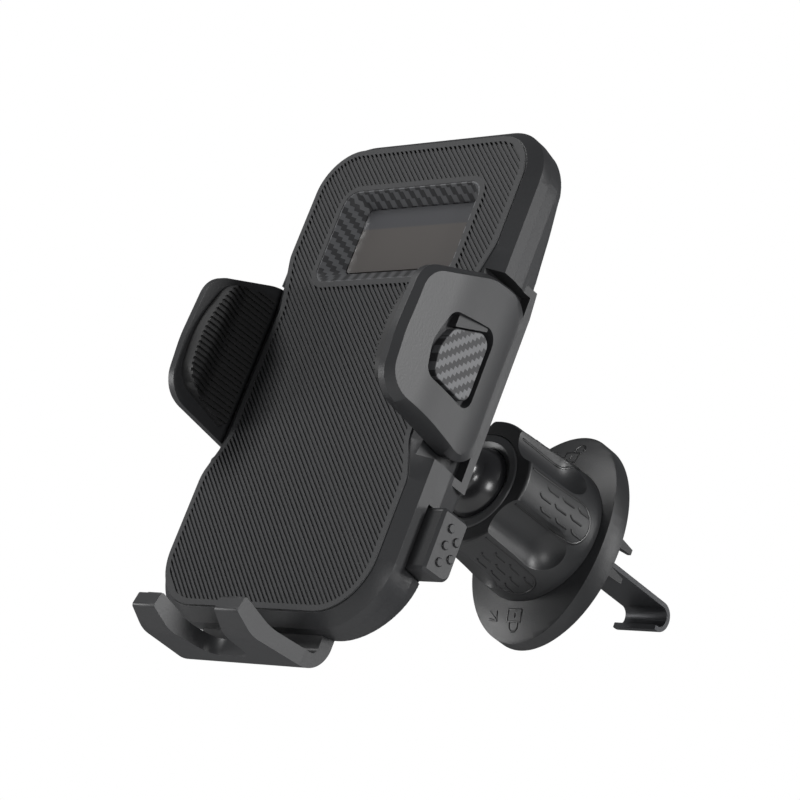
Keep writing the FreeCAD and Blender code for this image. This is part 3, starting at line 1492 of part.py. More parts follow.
def make_all():
    make_base_disc()
    make_base_pad()
    make_socket_core()
    make_base_screws()
    make_socket_ring()
    make_friction_cup()
    make_ball_stud()
    make_twist_sleeve()
    make_hook()
    make_hook_carrier()
    make_front_shell()
    make_back_shell()
    make_housing_screws()
    make_front_pad()
    make_window_frame()
    make_window_plate()
    make_stud_retainer()
    make_gear_axle()
    make_rack_arm("right_rack_arm", left=False)
    make_rack_arm("left_rack_arm", left=True)
    make_pinion()
    make_opening_spring()
    make_jaw_shell("right_jaw_shell", arm_low(), True)
    left_form = make_jaw_shell("left_jaw_form", left_arm_low(), False)
    mirrored("left_jaw_shell", left_form)
    make_jaw_inlay()
    mirrored("left_jaw_inlay", nodes["right_jaw_inlay"])
    make_jaw_pad()
    mirrored("left_jaw_pad", nodes["right_jaw_pad"])
    make_lock_pawl()
    make_button("right_button")
    mirrored("left_button", nodes["right_button"])
    make_button_spring("right_button_spring")
    mirrored("left_button_spring", nodes["right_button_spring"])
    make_foot()
    make_foot_liner()


def export_nodes():
    """Checks every object of the document, then writes one file for each piece."""
    document.recompute()
    for item in document.Objects:
        if "Invalid" in item.State or "Error" in item.State:
            raise ValueError("%s: %s" % (item.Label, item.State))
    for name, piece in nodes.items():
        if piece.Shape.isNull() or not piece.Shape.isValid() or not piece.Shape.Solids:
            raise ValueError("%s has no valid solid" % name)
    os.makedirs("parts", exist_ok=True)
    for name, piece in nodes.items():
        piece.Shape.exportStep("parts/%s.step" % name)
        print("%-22s %2d solids %9.1f mm3" % (name, len(piece.Shape.Solids), piece.Shape.Volume))


make_all()
export_nodes()
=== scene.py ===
# Air vent phone holder: the finish and fine forms of each piece, set on the frame of its solids.
# Metres. X is to the right of someone facing the pad, Y points back to the vent, Z is up.
import math

import bpy
import numpy as np
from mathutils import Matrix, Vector
from mathutils.bvhtree import BVHTree


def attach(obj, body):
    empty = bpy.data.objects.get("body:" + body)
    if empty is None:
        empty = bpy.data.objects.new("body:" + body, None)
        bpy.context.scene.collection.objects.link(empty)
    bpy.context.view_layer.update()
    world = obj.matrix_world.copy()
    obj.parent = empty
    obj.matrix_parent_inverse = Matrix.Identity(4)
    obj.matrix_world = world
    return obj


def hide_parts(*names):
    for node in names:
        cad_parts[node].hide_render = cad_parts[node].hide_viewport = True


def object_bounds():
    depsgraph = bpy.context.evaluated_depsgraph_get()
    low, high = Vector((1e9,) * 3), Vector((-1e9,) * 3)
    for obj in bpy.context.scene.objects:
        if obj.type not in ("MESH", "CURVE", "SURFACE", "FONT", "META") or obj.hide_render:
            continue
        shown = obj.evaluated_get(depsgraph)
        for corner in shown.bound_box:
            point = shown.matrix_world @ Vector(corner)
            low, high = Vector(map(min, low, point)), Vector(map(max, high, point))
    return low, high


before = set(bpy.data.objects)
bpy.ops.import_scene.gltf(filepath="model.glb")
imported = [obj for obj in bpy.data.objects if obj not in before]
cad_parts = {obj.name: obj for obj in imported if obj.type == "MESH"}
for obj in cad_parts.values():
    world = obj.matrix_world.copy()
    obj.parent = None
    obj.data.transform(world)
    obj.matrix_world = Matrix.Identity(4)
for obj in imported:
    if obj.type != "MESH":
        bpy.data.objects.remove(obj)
cad_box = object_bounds()
MM = 0.001

# Camera: the photograph's place and angles, for a square picture.
CAMERA_PLACE = (0.42021, -0.42382, -0.20663)
CAMERA_ANGLES = (112.1088, -19.6678, 41.2165)
CAMERA_LENS = 129.743
CAMERA_SENSOR = 36
CAMERA_NEAR = 0.01

# Jaw, in millimetres: each corner is (y, z, radius), and a side is how far out it lies.
JAW_INNER = 29.8
JAW_BEVEL = 31.5
JAW_FLOOR = 31.2
JAW_HEEL = -62.4
JAW_CORNERS = (
    (-93.0, 15.2, 6.5),
    (-93.6, 0.5, 30),
    (-92.4, -11.8, 7),
    (JAW_HEEL, -15.8, 6.5),
    (JAW_HEEL, 23.8, 6.5),
    (-76.0, 22.6, 15),
)
JAW_HEEL_GAP = 1.8
BEVEL_WIDTH = 1.4
CROWN_DEPTHS = (61, 69, 81, 96)
CROWN_SIDES = (30.6, 33.3, 34.3, 32.5)
CROWN_BLUR = 3.5
CROWN_SAMPLES = 9
FACE_RINGS = 13
RECESS_DRAFT = 0.25
RECESS_CORNERS = (
    (-83.3, 10.0, 2.8),
    (-85.6, 2.2, 8),
    (-84.2, -4.6, 2.8),
    (-70.0, -5.7, 2.8),
    (-70.0, 12.6, 2.8),
)
ISLAND_CORNERS = (
    (-80.8, 7.4, 2.4),
    (-83.1, 2.2, 8),
    (-81.7, -3.5, 2.4),
    (-71.1, -4.6, 2.4),
    (-71.1, 11.5, 2.4),
)
LEDGE_CORNERS = (
    (-80.9, 7.7, 0.2),
    (-72.6, 11.2, 0.2),
    (-72.6, 12.6, 0.2),
    (-80.9, 11.0, 0.2),
)
ISLAND_SIDE = 33.3
ISLAND_SUNK = 0.1
LEDGE_SIDE = 33.2
LEDGE_SUNK = 0.2
JAW_MIDDLE = (-77.5, 3.2)
OUTLINE_POINTS = 240
EVEN_POINTS = 900
ARC_POINTS = 12

# Head's bowed back, in millimetres: it lies BOW_RISE nearer the front at BOW_HALF above and below the middle.
BOW_BACK = 60.0
BOW_RISE = 5.2
BOW_HALF = 50.0
BOW_SKIN = 0.6
BOW_SQUEEZE = 0.5
BOW_LEVELS = 3
BOW_SMOOTH_ANGLE = math.radians(30)

# Knob's grip marks, in millimetres and degrees.
PATCH_TURNS = (-2, 70, 142, -146, -74)
PATCH_HALF_TURN = 17.0
PATCH_FRONT = 29.8
PATCH_REAR = 9.8
PATCH_ROUND = 4
PATCH_SIDE_POINTS = 8
PATCH_END_POINTS = 11
DASH_ROWS = (-9.2, 0, 9.2)
DASH_COLUMNS = (13.8, 18.8, 23.8)
DASH_STAGGER = 1.6
DASH_START = 0.3
DASH_LENGTH = 3.1
DASH_POINTS = 4
DASH_HOOK = 2.6
DASH_HOOK_REACH = 0.7
DASH_HOOK_BEND = 0.25
DASH_BEND_SHARE = 0.35

# Marks are beads: (width, height), in millimetres. They stand in for engraved grooves, and their near-black
# finish is painted shade in the grooves. A bead's section is in shares of these.
OUTLINE_BEAD = (0.55, 0.16)
DASH_BEAD = (0.5, 0.16)
SIGN_BEAD = (0.55, 0.14)
BEAD_SECTION = ((-0.5, -0.15), (-0.42, 0.6), (-0.2, 1), (0.2, 1), (0.42, 0.6), (0.5, -0.15))

# Distance from which rays are cast at a surface to find a mark's place on it.
CAST_FROM = 50 * MM

# Padlock signs, in millimetres about the sign's middle.
SIGN_HEIGHT = 19.6
LOCK_HALF = 1.9
LOCK_TOP = 1.0
LOCK_BOTTOM = -1.6
LOCK_BOW = 1.2
LOCK_BOW_HEIGHT = 1.9
LOCK_OPEN_SHIFT = 1.3
LOCK_OPEN_END = 1.5
LOCK_BOW_POINTS = 9
KEYHOLE = ((0, 0.2), (0, -0.8))
ARROW_SHAFT = ((-7.6, 18.6), (-6.2, 19.6), (-5.0, 20.6))
ARROW_HEAD = ((-7.4, 20.2), (-5.0, 20.6), (-5.4, 18.4))

# Button studs, in millimetres: spots are (depth, height), and the profile is (radius, side).
STUD_SPOTS = ((66.9, -29.1), (66.9, -32.7), (66.9, -36.3), (64.4, -30.9), (64.4, -34.5))
STUD_PROFILE = ((0.98, 37.05), (0.92, 37.28), (0.66, 37.44), (0.42, 37.44), (0.28, 37.28), (0.02, 37.24))
STUD_POINTS = 24

# Colours.
CHARCOAL = (0.024, 0.0245, 0.026)
PAD_GREY = (0.028, 0.0285, 0.030)
# Jaw pads' black rubber, made darker than the front pad's rubber as painted shade on the pads' inner faces.
SHADED_GRIP_BLACK = (0.015, 0.015, 0.0155)
KNOB_BLACK = (0.017, 0.0175, 0.0185)
RING_GREY = (0.045, 0.046, 0.048)
GLOSS_BLACK = (0.009, 0.009, 0.010)
# Near black of the marks: painted shade of engraved grooves.
GROOVE_SHADE_BLACK = (0.006, 0.006, 0.0065)
TOW_LIGHT = (0.105, 0.107, 0.112)
TOW_DARK = (0.028, 0.028, 0.030)
SMOKED = (0.088, 0.081, 0.076)
# Cooler grey band along the plate's top: a painted reflection.
PLATE_REFLECTION_GREY = (0.064, 0.065, 0.070)
SCREW_GREY = (0.16, 0.16, 0.165)
COATED_STEEL = (0.035, 0.036, 0.039)
PLAIN_STEEL = (0.56, 0.56, 0.57)
NATURAL_PLASTIC = (0.58, 0.57, 0.53)
ROOM_GREY = (0.11, 0.112, 0.116, 1)
WHITE = (1, 1, 1, 1)
FLOOR_PALE = (0.9, 0.9, 0.9, 1)

# Surface: grain is in cycles a metre, and depths are in metres.
PLASTIC_GRAIN = 2200.0
RUBBER_GRAIN = 1500.0
METAL_GRAIN = 3500.0
METAL_DRIFT = 60.0
SLOW_DRIFT = 28.0
GRAIN_DETAIL = 2.0
DRIFT_DETAIL = 3.0
NOISE_ROUGHNESS = 0.55
GRAIN_DEPTH = 0.00002
METAL_GRAIN_DEPTH = 0.00001
POLISHED_DEPTH = 0.000004
STUD_DEPTH = 0.000003
PLATE_DEPTH = 0.000002
COLOUR_SPREAD = 0.25
GLOSS_SPREAD = 0.05
METAL_GLOSS_SPREAD = 0.06
METAL_DARKER = 0.8
COAT_ROUGHNESS = 0.12
PLATE_COAT = 0.5
PLATE_GLOSS = (0.2, 0.28)
TOW_GLOSS = (0.55, 0.38)
WINDOW_TOW = 0.75 * MM
JAW_TOW = 0.88 * MM
# Where the plate's painted reflection band starts, and how soft its edge is.
REFLECTION_BAND_HEIGHT = 38.4 * MM
REFLECTION_BAND_BLUR = 0.3 * MM

# Twill: a tow goes over two and under two, and each one's section is a flattened round.
TWILL_REPEAT = 4.0
TWILL_OVER = 1.5
TOW_FLATNESS = 3.0

# Places of the Mix node's sockets: its share, its two numbers, its two colours and the mixed colour.
MIX_SHARE = 0
MIX_NUMBERS = (2, 3)
MIX_COLOURS = (6, 7)
MIXED_COLOUR = 2

# Edges.
WELD_REACH = 0.000002
EDGE_ROUND = 0.25 * MM
EDGE_SEGMENTS = 3
EDGE_ANGLE = math.radians(30)
SHARP_ANGLE = math.radians(32)
SOFT_EDGES = {
    "foot": 0.65 * MM,
    "right_button": 0.7 * MM,
    "left_button": 0.7 * MM,
    "front_shell": 0.4 * MM,
    "hook": 0.15 * MM,
}

# Studio: each lamp is (name, place, size, power), and all face one point.
LAMP_AIM = (0, -0.04, 0)
LAMPS = (
    ("key", (-0.3, -0.72, 0.5), (0.3, 0.3), 4.2),
    ("left low", (-0.75, -0.55, -0.2), (0.35, 0.3), 3.0),
    ("side strip", (0.83, 0.13, 0.36), (0.12, 0.4), 5.2),
    ("front right", (0.82, -0.4, -0.12), (0.2, 0.3), 2.2),
    ("low fill", (0.35, -0.35, -0.7), (0.4, 0.25), 1.8),
    ("rear rim", (0.55, 0.6, 0.25), (0.3, 0.3), 1.4),
)
FLOOR_DROP = 0.42
FLOOR_HALF = 6.0
FLOOR_ROUGHNESS = 0.9


def node_of(tree, kind, **settings):
    """Adds a node and sets its properties and its inputs' plain values."""
    node = tree.nodes.new(kind)
    for name, value in settings.items():
        if hasattr(node, name) and name not in node.inputs:
            setattr(node, name, value)
        else:
            node.inputs[name.replace("_", " ")].default_value = value
    return node


def maths(tree, operation, first, second=None):
    """One Math node: each input is a socket or a number."""
    node = tree.nodes.new("ShaderNodeMath")
    node.operation = operation
    for index, value in enumerate((first, second)):
        if value is None:
            continue
        if isinstance(value, (int, float)):
            node.inputs[index].default_value = value
        else:
            tree.links.new(value, node.inputs[index])
    return node.outputs[0]


def new_group(name, inputs, outputs):
    """A shader node group: inputs are (label, kind of socket, value), and outputs are labels of numbers."""
    group = bpy.data.node_groups.new(name, "ShaderNodeTree")
    for label, kind, default in inputs:
        socket = group.interface.new_socket(label, in_out="INPUT", socket_type=kind)
        socket.default_value = default
    for label in outputs:
        group.interface.new_socket(label, in_out="OUTPUT", socket_type="NodeSocketFloat")
    return group, group.nodes.new("NodeGroupInput"), group.nodes.new("NodeGroupOutput")


def make_grain_group():
    """Fine spark-eroded grain with a slow drift, for moulded plastic, rubber and metal."""
    inputs = (("Grain", "NodeSocketFloat", PLASTIC_GRAIN), ("Drift", "NodeSocketFloat", SLOW_DRIFT))
    group, given, made = new_group("moulded grain", inputs, ("Height", "Drift"))
    place = group.nodes.new("ShaderNodeTexCoord").outputs["Object"]
    for source, detail, output in (("Grain", GRAIN_DETAIL, "Height"), ("Drift", DRIFT_DETAIL, "Drift")):
        noise = node_of(group, "ShaderNodeTexNoise", Detail=detail, Roughness=NOISE_ROUGHNESS)
        group.links.new(place, noise.inputs["Vector"])
        group.links.new(given.outputs[source], noise.inputs["Scale"])
        group.links.new(noise.outputs["Fac"], made.inputs[output])
    return group


def tow_height(group, turn):
    """A tow's section along one axis: highest at its middle and zero at its edges."""
    from_middle = maths(group, "ABSOLUTE", maths(group, "SUBTRACT", maths(group, "FRACT", turn), 0.5))
    fall = maths(group, "POWER", maths(group, "MULTIPLY", from_middle, 2.0), TOW_FLATNESS)
    return maths(group, "SUBTRACT", 1.0, fall)


def make_weave_group():
    """Two-by-two twill of flat tows, in the plane of a place's first two axes."""
    inputs = (("Place", "NodeSocketVector", (0, 0, 0)), ("Tow", "NodeSocketFloat", 0.001))
    group, given, made = new_group("twill weave", inputs, ("Warp", "Height"))
    split = group.nodes.new("ShaderNodeSeparateXYZ")
    group.links.new(given.outputs["Place"], split.inputs[0])
    across = maths(group, "DIVIDE", split.outputs["X"], given.outputs["Tow"])
    up = maths(group, "DIVIDE", split.outputs["Y"], given.outputs["Tow"])
    steps = maths(group, "SUBTRACT", maths(group, "FLOOR", across), maths(group, "FLOOR", up))
    warp = maths(group, "LESS_THAN", maths(group, "FLOORED_MODULO", steps, TWILL_REPEAT), TWILL_OVER)
    height = group.nodes.new("ShaderNodeMix")
    group.links.new(warp, height.inputs[MIX_SHARE])
    for turn, place in zip((up, across), MIX_NUMBERS):
        group.links.new(tow_height(group, turn), height.inputs[place])
    group.links.new(warp, made.inputs["Warp"])
    group.links.new(height.outputs[0], made.inputs["Height"])
    return group


GRAIN = make_grain_group()
WEAVE = make_weave_group()


def new_material(name):
    """A material with nodes, its tree and its Principled shader."""
    material = bpy.data.materials.new(name)
    material.use_nodes = True
    tree = material.node_tree
    return material, tree, tree.nodes["Principled BSDF"]


def place_group(tree, group, **values):
    """Puts a shared group in a material, with its own values."""
    node = tree.nodes.new("ShaderNodeGroup")
    node.node_tree = group
    for name, value in values.items():
        node.inputs[name].default_value = value
    return node


def blended(tree, share, low, high):
    """A colour between two, by a mask."""
    mix = tree.nodes.new("ShaderNodeMix")
    mix.data_type = "RGBA"
    for colour, place in zip((low, high), MIX_COLOURS):
        mix.inputs[place].default_value = (*colour, 1)
    tree.links.new(share, mix.inputs[MIX_SHARE])
    return mix.outputs[MIXED_COLOUR]


def ranged(tree, share, low, high):
    """A number between two, by a mask."""
    node = tree.nodes.new("ShaderNodeMapRange")
    node.inputs["To Min"].default_value = low
    node.inputs["To Max"].default_value = high
    tree.links.new(share, node.inputs["Value"])
    return node.outputs["Result"]


def bumped(tree, shader, height, depth):
    """Raises the surface by a height mask."""
    bump = node_of(tree, "ShaderNodeBump", Strength=1.0, Distance=depth)
    tree.links.new(height, bump.inputs["Height"])
    tree.links.new(bump.outputs["Normal"], shader.inputs["Normal"])


def moulded(name, colour, roughness, grain=PLASTIC_GRAIN, depth=GRAIN_DEPTH, coat=0.0):
    """Moulded plastic or rubber: grain in the surface, and colour and gloss that drift a little."""
    material, tree, shader = new_material(name)
    grains = place_group(tree, GRAIN, Grain=grain)
    drift = grains.outputs["Drift"]
    darker = tuple(channel * (1 - COLOUR_SPREAD) for channel in colour)
    lighter = tuple(channel * (1 + COLOUR_SPREAD) for channel in colour)
    gloss = ranged(tree, drift, roughness - GLOSS_SPREAD, roughness + GLOSS_SPREAD)
    tree.links.new(blended(tree, drift, darker, lighter), shader.inputs["Base Color"])
    tree.links.new(gloss, shader.inputs["Roughness"])
    shader.inputs["Coat Weight"].default_value = coat
    shader.inputs["Coat Roughness"].default_value = COAT_ROUGHNESS
    bumped(tree, shader, grains.outputs["Height"], depth)
    return material


def woven(name, plane, turn, tow):
    """Carbon look: light and dark satin tows. The plane names the two axes it lies in."""
    material, tree, shader = new_material(name)
    split = tree.nodes.new("ShaderNodeSeparateXYZ")
    join = tree.nodes.new("ShaderNodeCombineXYZ")
    tree.links.new(tree.nodes.new("ShaderNodeTexCoord").outputs["Object"], split.inputs[0])
    for index, axis in enumerate(plane):
        tree.links.new(split.outputs[axis], join.inputs[index])
    turned = node_of(tree, "ShaderNodeVectorRotate", rotation_type="Z_AXIS", Angle=math.radians(turn))
    tree.links.new(join.outputs[0], turned.inputs["Vector"])
    weave = place_group(tree, WEAVE, Tow=tow)
    tree.links.new(turned.outputs[0], weave.inputs["Place"])
    warp = weave.outputs["Warp"]
    tree.links.new(blended(tree, warp, TOW_DARK, TOW_LIGHT), shader.inputs["Base Color"])
    tree.links.new(ranged(tree, warp, *TOW_GLOSS), shader.inputs["Roughness"])
    bumped(tree, shader, weave.outputs["Height"], GRAIN_DEPTH)
    return material


def metal(name, colour, roughness, metallic=1.0):
    """Drawn or turned metal, with colour and gloss that drift a little."""
    material, tree, shader = new_material(name)
    grains = place_group(tree, GRAIN, Grain=METAL_GRAIN, Drift=METAL_DRIFT)
    drift = grains.outputs["Drift"]
    darker = tuple(channel * METAL_DARKER for channel in colour)
    gloss = ranged(tree, drift, roughness - METAL_GLOSS_SPREAD, roughness + METAL_GLOSS_SPREAD)
    tree.links.new(blended(tree, drift, darker, colour), shader.inputs["Base Color"])
    tree.links.new(gloss, shader.inputs["Roughness"])
    shader.inputs["Metallic"].default_value = metallic
    bumped(tree, shader, grains.outputs["Height"], METAL_GRAIN_DEPTH)
    return material


def make_plate_finish():
    """Smoked plate: warm grey, with a cooler grey band along its top that is a painted reflection."""
    material, tree, shader = new_material("smoked plate")
    split = tree.nodes.new("ShaderNodeSeparateXYZ")
    tree.links.new(tree.nodes.new("ShaderNodeTexCoord").outputs["Object"], split.inputs[0])
    # Mask of the painted reflection band along the plate's top.
    band = node_of(tree, "ShaderNodeMapRange", interpolation_type="SMOOTHSTEP")
    band.inputs["From Min"].default_value = REFLECTION_BAND_HEIGHT - REFLECTION_BAND_BLUR
    band.inputs["From Max"].default_value = REFLECTION_BAND_HEIGHT + REFLECTION_BAND_BLUR
    tree.links.new(split.outputs["Z"], band.inputs["Value"])
    tree.links.new(blended(tree, band.outputs["Result"], SMOKED, PLATE_REFLECTION_GREY), shader.inputs["Base Color"])
    grains = place_group(tree, GRAIN)
    tree.links.new(ranged(tree, grains.outputs["Drift"], *PLATE_GLOSS), shader.inputs["Roughness"])
    shader.inputs["Coat Weight"].default_value = PLATE_COAT
    bumped(tree, shader, grains.outputs["Height"], PLATE_DEPTH)
    return material


shell_finish = moulded("satin charcoal shell", CHARCOAL, 0.42)
pad_finish = moulded("ribbed pad rubber", PAD_GREY, 0.62, grain=RUBBER_GRAIN)
# Jaw pads: darker rubber that paints the shade on their inner faces.
shaded_grip_finish = moulded("jaw grip rubber with painted shade", SHADED_GRIP_BLACK, 0.55, grain=RUBBER_GRAIN)
knob_finish = moulded("satin black knob", KNOB_BLACK, 0.4)
ring_finish = moulded("satin ring", RING_GREY, 0.36)
ball_finish = moulded("polished black ball", GLOSS_BLACK, 0.26, depth=POLISHED_DEPTH, coat=0.3)
window_weave = woven("bezel weave", ("X", "Z"), 90, WINDOW_TOW)
jaw_weave = woven("jaw island weave", ("Y", "Z"), 0, JAW_TOW)
stud_finish = moulded("glossy button stud", GLOSS_BLACK, 0.16, depth=STUD_DEPTH, coat=0.6)
# Marks: near black as painted shade of engraved grooves.
groove_shade_finish = moulded("near-black mark with painted groove shade", GROOVE_SHADE_BLACK, 0.3, depth=POLISHED_DEPTH)
plate_finish = make_plate_finish()
screw_finish = metal("blackened screw", SCREW_GREY, 0.4)
coated_steel = metal("black coated steel", COATED_STEEL, 0.42, 0.6)
plain_steel = metal("plain steel", PLAIN_STEEL, 0.3)
natural_finish = moulded("natural plastic", NATURAL_PLASTIC, 0.4)
prong_rubber = moulded("prong rubber", GLOSS_BLACK, 0.5)

# Pieces by finish. Any other piece is in the shell's finish.
FINISH_NODES = (
    (pad_finish, ("front_pad", "foot_liner")),
    (shaded_grip_finish, ("right_jaw_pad", "left_jaw_pad")),
    (prong_rubber, ("base_pad",)),
    (window_weave, ("window_frame",)),
    (jaw_weave, ("right_jaw_inlay", "left_jaw_inlay")),
    (plate_finish, ("window_plate",)),
    (ball_finish, ("ball_stud",)),
    (knob_finish, ("twist_sleeve", "base_disc")),
    (ring_finish, ("socket_ring",)),
    (coated_steel, ("hook",)),
    (plain_steel, ("gear_axle", "opening_spring", "right_button_spring", "left_button_spring")),
    (screw_finish, ("housing_screws", "base_screws")),
    (natural_finish, ("socket_core", "friction_cup", "hook_carrier", "stud_retainer", "pinion_gear",
                      "right_rack_arm", "left_rack_arm", "lock_pawl")),
)
NODE_FINISH = {name: finish for finish, names in FINISH_NODES for name in names}
CRISP_NODES = ("front_pad", "right_jaw_pad", "left_jaw_pad", "opening_spring", "pinion_gear",
               "right_button_spring", "left_button_spring")
BOWED_NODES = ("back_shell", "housing_screws")


def soften(piece, width):
    """Rounds a piece's hard edges."""
    bevel = piece.modifiers.new("edge round", "BEVEL")
    bevel.width = width
    bevel.segments = EDGE_SEGMENTS
    bevel.limit_method = "ANGLE"
    bevel.angle_limit = EDGE_ANGLE
    bevel.harden_normals = True


def finish_node(name, node):
    """Gives a solid its material, welds its facets and softens its hard edges."""
    node.data.materials.clear()
    node.data.materials.append(NODE_FINISH.get(name, shell_finish))
    weld = node.modifiers.new("weld", "WELD")
    weld.merge_threshold = WELD_REACH
    if name not in CRISP_NODES and name not in BOWED_NODES:
        soften(node, SOFT_EDGES.get(name, EDGE_ROUND))


def corner_arc(before, here, after, radius):
    """Points of the arc that rounds one corner between two straight sides."""
    before = (before - here) / np.linalg.norm(before - here)
    after = (after - here) / np.linalg.norm(after - here)
    half = math.acos(before @ after) / 2
    reach = radius / math.tan(half)
    middle = here + (before + after) / np.linalg.norm(before + after) * radius / math.sin(half)
    start = here + before * reach - middle
    end = here + after * reach - middle
    first = math.atan2(start[1], start[0])
    turn = (math.atan2(end[1], end[0]) - first + math.pi) % math.tau - math.pi
    angles = first + turn * np.linspace(0, 1, ARC_POINTS)
    return [middle + radius * np.array((math.cos(angle), math.sin(angle))) for angle in angles]


def rounded(corners):
    """A closed outline's points, evenly spaced, with each corner (u, v, radius) an arc."""
    spots = [np.array(corner[:2], float) for corner in corners]
    points = []
    for index, corner in enumerate(corners):
        after = spots[(index + 1) % len(spots)]
        points.extend(corner_arc(spots[index - 1], spots[index], after, corner[2]))
    points = np.array(points + points[:1])
    steps = np.hypot(*np.diff(points, axis=0).T)
    along = np.concatenate(([0], np.cumsum(steps)))
    even = np.linspace(0, along[-1], EVEN_POINTS, endpoint=False)
    return np.column_stack([np.interp(even, along, points[:, axis]) for axis in (0, 1)])


def round_middle(corners, middle=JAW_MIDDLE):
    """The outline's distances from a middle point, at equal turns."""
    points = rounded(corners) - np.array(middle)
    turns = np.linspace(0, math.tau, OUTLINE_POINTS, endpoint=False)
    seen = np.arctan2(points[:, 1], points[:, 0]) % math.tau
    return np.interp(turns, seen, np.hypot(*points.T), period=math.tau)


def outline_points(reaches, sides, middle=JAW_MIDDLE):
    """A ring of (x, y, z) at the given distances from the middle point."""
    turns = np.linspace(0, math.tau, len(reaches), endpoint=False)
    return np.column_stack([
        np.broadcast_to(sides, turns.shape),
        middle[0] + reaches * np.cos(turns),
        middle[1] + reaches * np.sin(turns),
    ])


def ring_faces(start, levels, count):
    """Faces of one closed form whose rings follow one another from a first vertex."""
    faces = []
    for level in range(levels - 1):
        low = start + level * count
        for index in range(count):
            after = (index + 1) % count
            faces.append((low + index, low + after, low + count + after, low + count + index))
    last = start + (levels - 1) * count
    faces.append(tuple(range(start + count - 1, start - 1, -1)))
    faces.append(tuple(range(last, last + count)))
    return faces


def skin(name, forms, finish, body, flip=False):
    """One mesh of closed forms in millimetres: each is a list of rings with equal counts of points."""
    vertices = []
    faces = []
    for rings in forms:
        faces.extend(ring_faces(len(vertices), len(rings), len(rings[0])))
        for ring in rings:
            vertices.extend(np.asarray(ring) * MM)
    if flip:
        faces = [face[::-1] for face in faces]
    mesh = bpy.data.meshes.new(name)
    mesh.from_pydata([tuple(vertex) for vertex in vertices], [], faces)
    mesh.polygons.foreach_set("use_smooth", [True] * len(faces))
    mesh.set_sharp_from_angle(angle=SHARP_ANGLE)
    mesh.materials.append(finish)
    piece = bpy.data.objects.new(name, mesh)
    bpy.context.collection.objects.link(piece)
    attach(piece, body)
    return piece


def crown_side(depths):
    """How far out the jaw's outer face lies, by depth."""
    window = np.linspace(-CROWN_BLUR, CROWN_BLUR, CROWN_SAMPLES)
    spots = np.asarray(depths)[..., None] + window
    return np.interp(spots, CROWN_DEPTHS, CROWN_SIDES).mean(axis=-1)


def jaw_rings():
    """The right jaw plate: inner face, bevelled rim, crowned face and recess."""
    edge = round_middle(JAW_CORNERS)
    rim = round_middle(RECESS_CORNERS)
    heel = [(y - JAW_HEEL_GAP if y == JAW_HEEL else y, z, radius) for y, z, radius in JAW_CORNERS]
    rings = [outline_points(round_middle(heel), JAW_INNER), outline_points(edge, JAW_BEVEL)]
    face = edge - BEVEL_WIDTH
    for share in np.linspace(0, 1, FACE_RINGS):
        ring = outline_points(face + (rim - face) * share, 0)
        ring[:, 0] = crown_side(-ring[:, 1])
        rings.append(ring)
    rings.append(outline_points(rim - RECESS_DRAFT, JAW_FLOOR))
    return rings


def prism_rings(corners, low, high, middle=JAW_MIDDLE):
    """A straight-sided block between two sides, by its outline's corners."""
    reaches = round_middle(corners, middle)
    return [outline_points(reaches, low, middle), outline_points(reaches, high, middle)]


def make_jaw(side):
    """The jaw's plate with its ledge, and the woven island in its recess."""
    body = "right_jaw" if side > 0 else "left_jaw"
    ledge_middle = np.mean([corner[:2] for corner in LEDGE_CORNERS], axis=0)
    ledge = prism_rings(LEDGE_CORNERS, JAW_FLOOR - LEDGE_SUNK, LEDGE_SIDE, ledge_middle)
    island = prism_rings(ISLAND_CORNERS, JAW_FLOOR - ISLAND_SUNK, ISLAND_SIDE)
    turned = np.array((side, 1, 1))
    for forms, suffix, finish, slot, solid in (
            ([jaw_rings(), ledge], "_plate", shell_finish, "shell", "_shell"),
            ([island], "_island", jaw_weave, "carbon", "_inlay")):
        forms = [[ring * turned for ring in form] for form in forms]
        piece = skin(body + suffix, forms, finish, body, flip=side < 0)
        soften(piece, EDGE_ROUND)
        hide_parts(body + solid)


def surface_of(name):
    """A solid's faces, for finding points on its surface."""
    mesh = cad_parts[name].data
    vertices = [vertex.co for vertex in mesh.vertices]
    return BVHTree.FromPolygons(vertices, [list(face.vertices) for face in mesh.polygons])


def ribbon(spots, bead):
    """A low rounded bead along (place, normal) spots on a surface, in millimetres."""
    width, height = bead
    places = [spot[0] for spot in spots]
    rings = []
    for index, (place, normal) in enumerate(spots):
        ahead = places[min(index + 1, len(places) - 1)] - places[max(index - 1, 0)]
        across = normal.cross(ahead).normalized()
        rings.append([place + across * (width * u) + normal * (height * v) for u, v in BEAD_SECTION])
    return rings


def sleeve_spots(surface, path):
    """Points on the knob for a path of (depth, turn in degrees)."""
    spots = []
    for depth, turn in path:
        out = Vector((math.cos(math.radians(turn)), 0, math.sin(math.radians(turn))))
        place, normal, _, _ = surface.ray_cast(out * CAST_FROM + Vector((0, -depth * MM, 0)), -out)
        spots.append((place / MM, normal if normal.dot(out) > 0 else -normal))
    return spots


def patch_path(middle):
    """A grip patch's outline: two sides that meet in a round rear end."""
    half = PATCH_HALF_TURN
    bend = PATCH_REAR + PATCH_ROUND
    path = [(depth, middle - half) for depth in np.linspace(PATCH_FRONT, bend, PATCH_SIDE_POINTS)]
    for turn in np.linspace(-90, 90, PATCH_END_POINTS)[1:-1]:
        angle = math.radians(turn)
        path.append((bend - PATCH_ROUND * math.cos(angle), middle + half * math.sin(angle)))
    return path + [(depth, middle + half) for depth in np.linspace(bend, PATCH_FRONT, PATCH_SIDE_POINTS)]


def dash_path(front, turn):
    """One dash, straight to the rear, with a short hook at its front end."""
    hook = [
        (front + DASH_HOOK_REACH, turn + DASH_HOOK),
        (front + DASH_HOOK_BEND, turn + DASH_HOOK * DASH_BEND_SHARE),
    ]
    return hook + [(front - step, turn) for step in np.linspace(DASH_START, DASH_LENGTH, DASH_POINTS)]


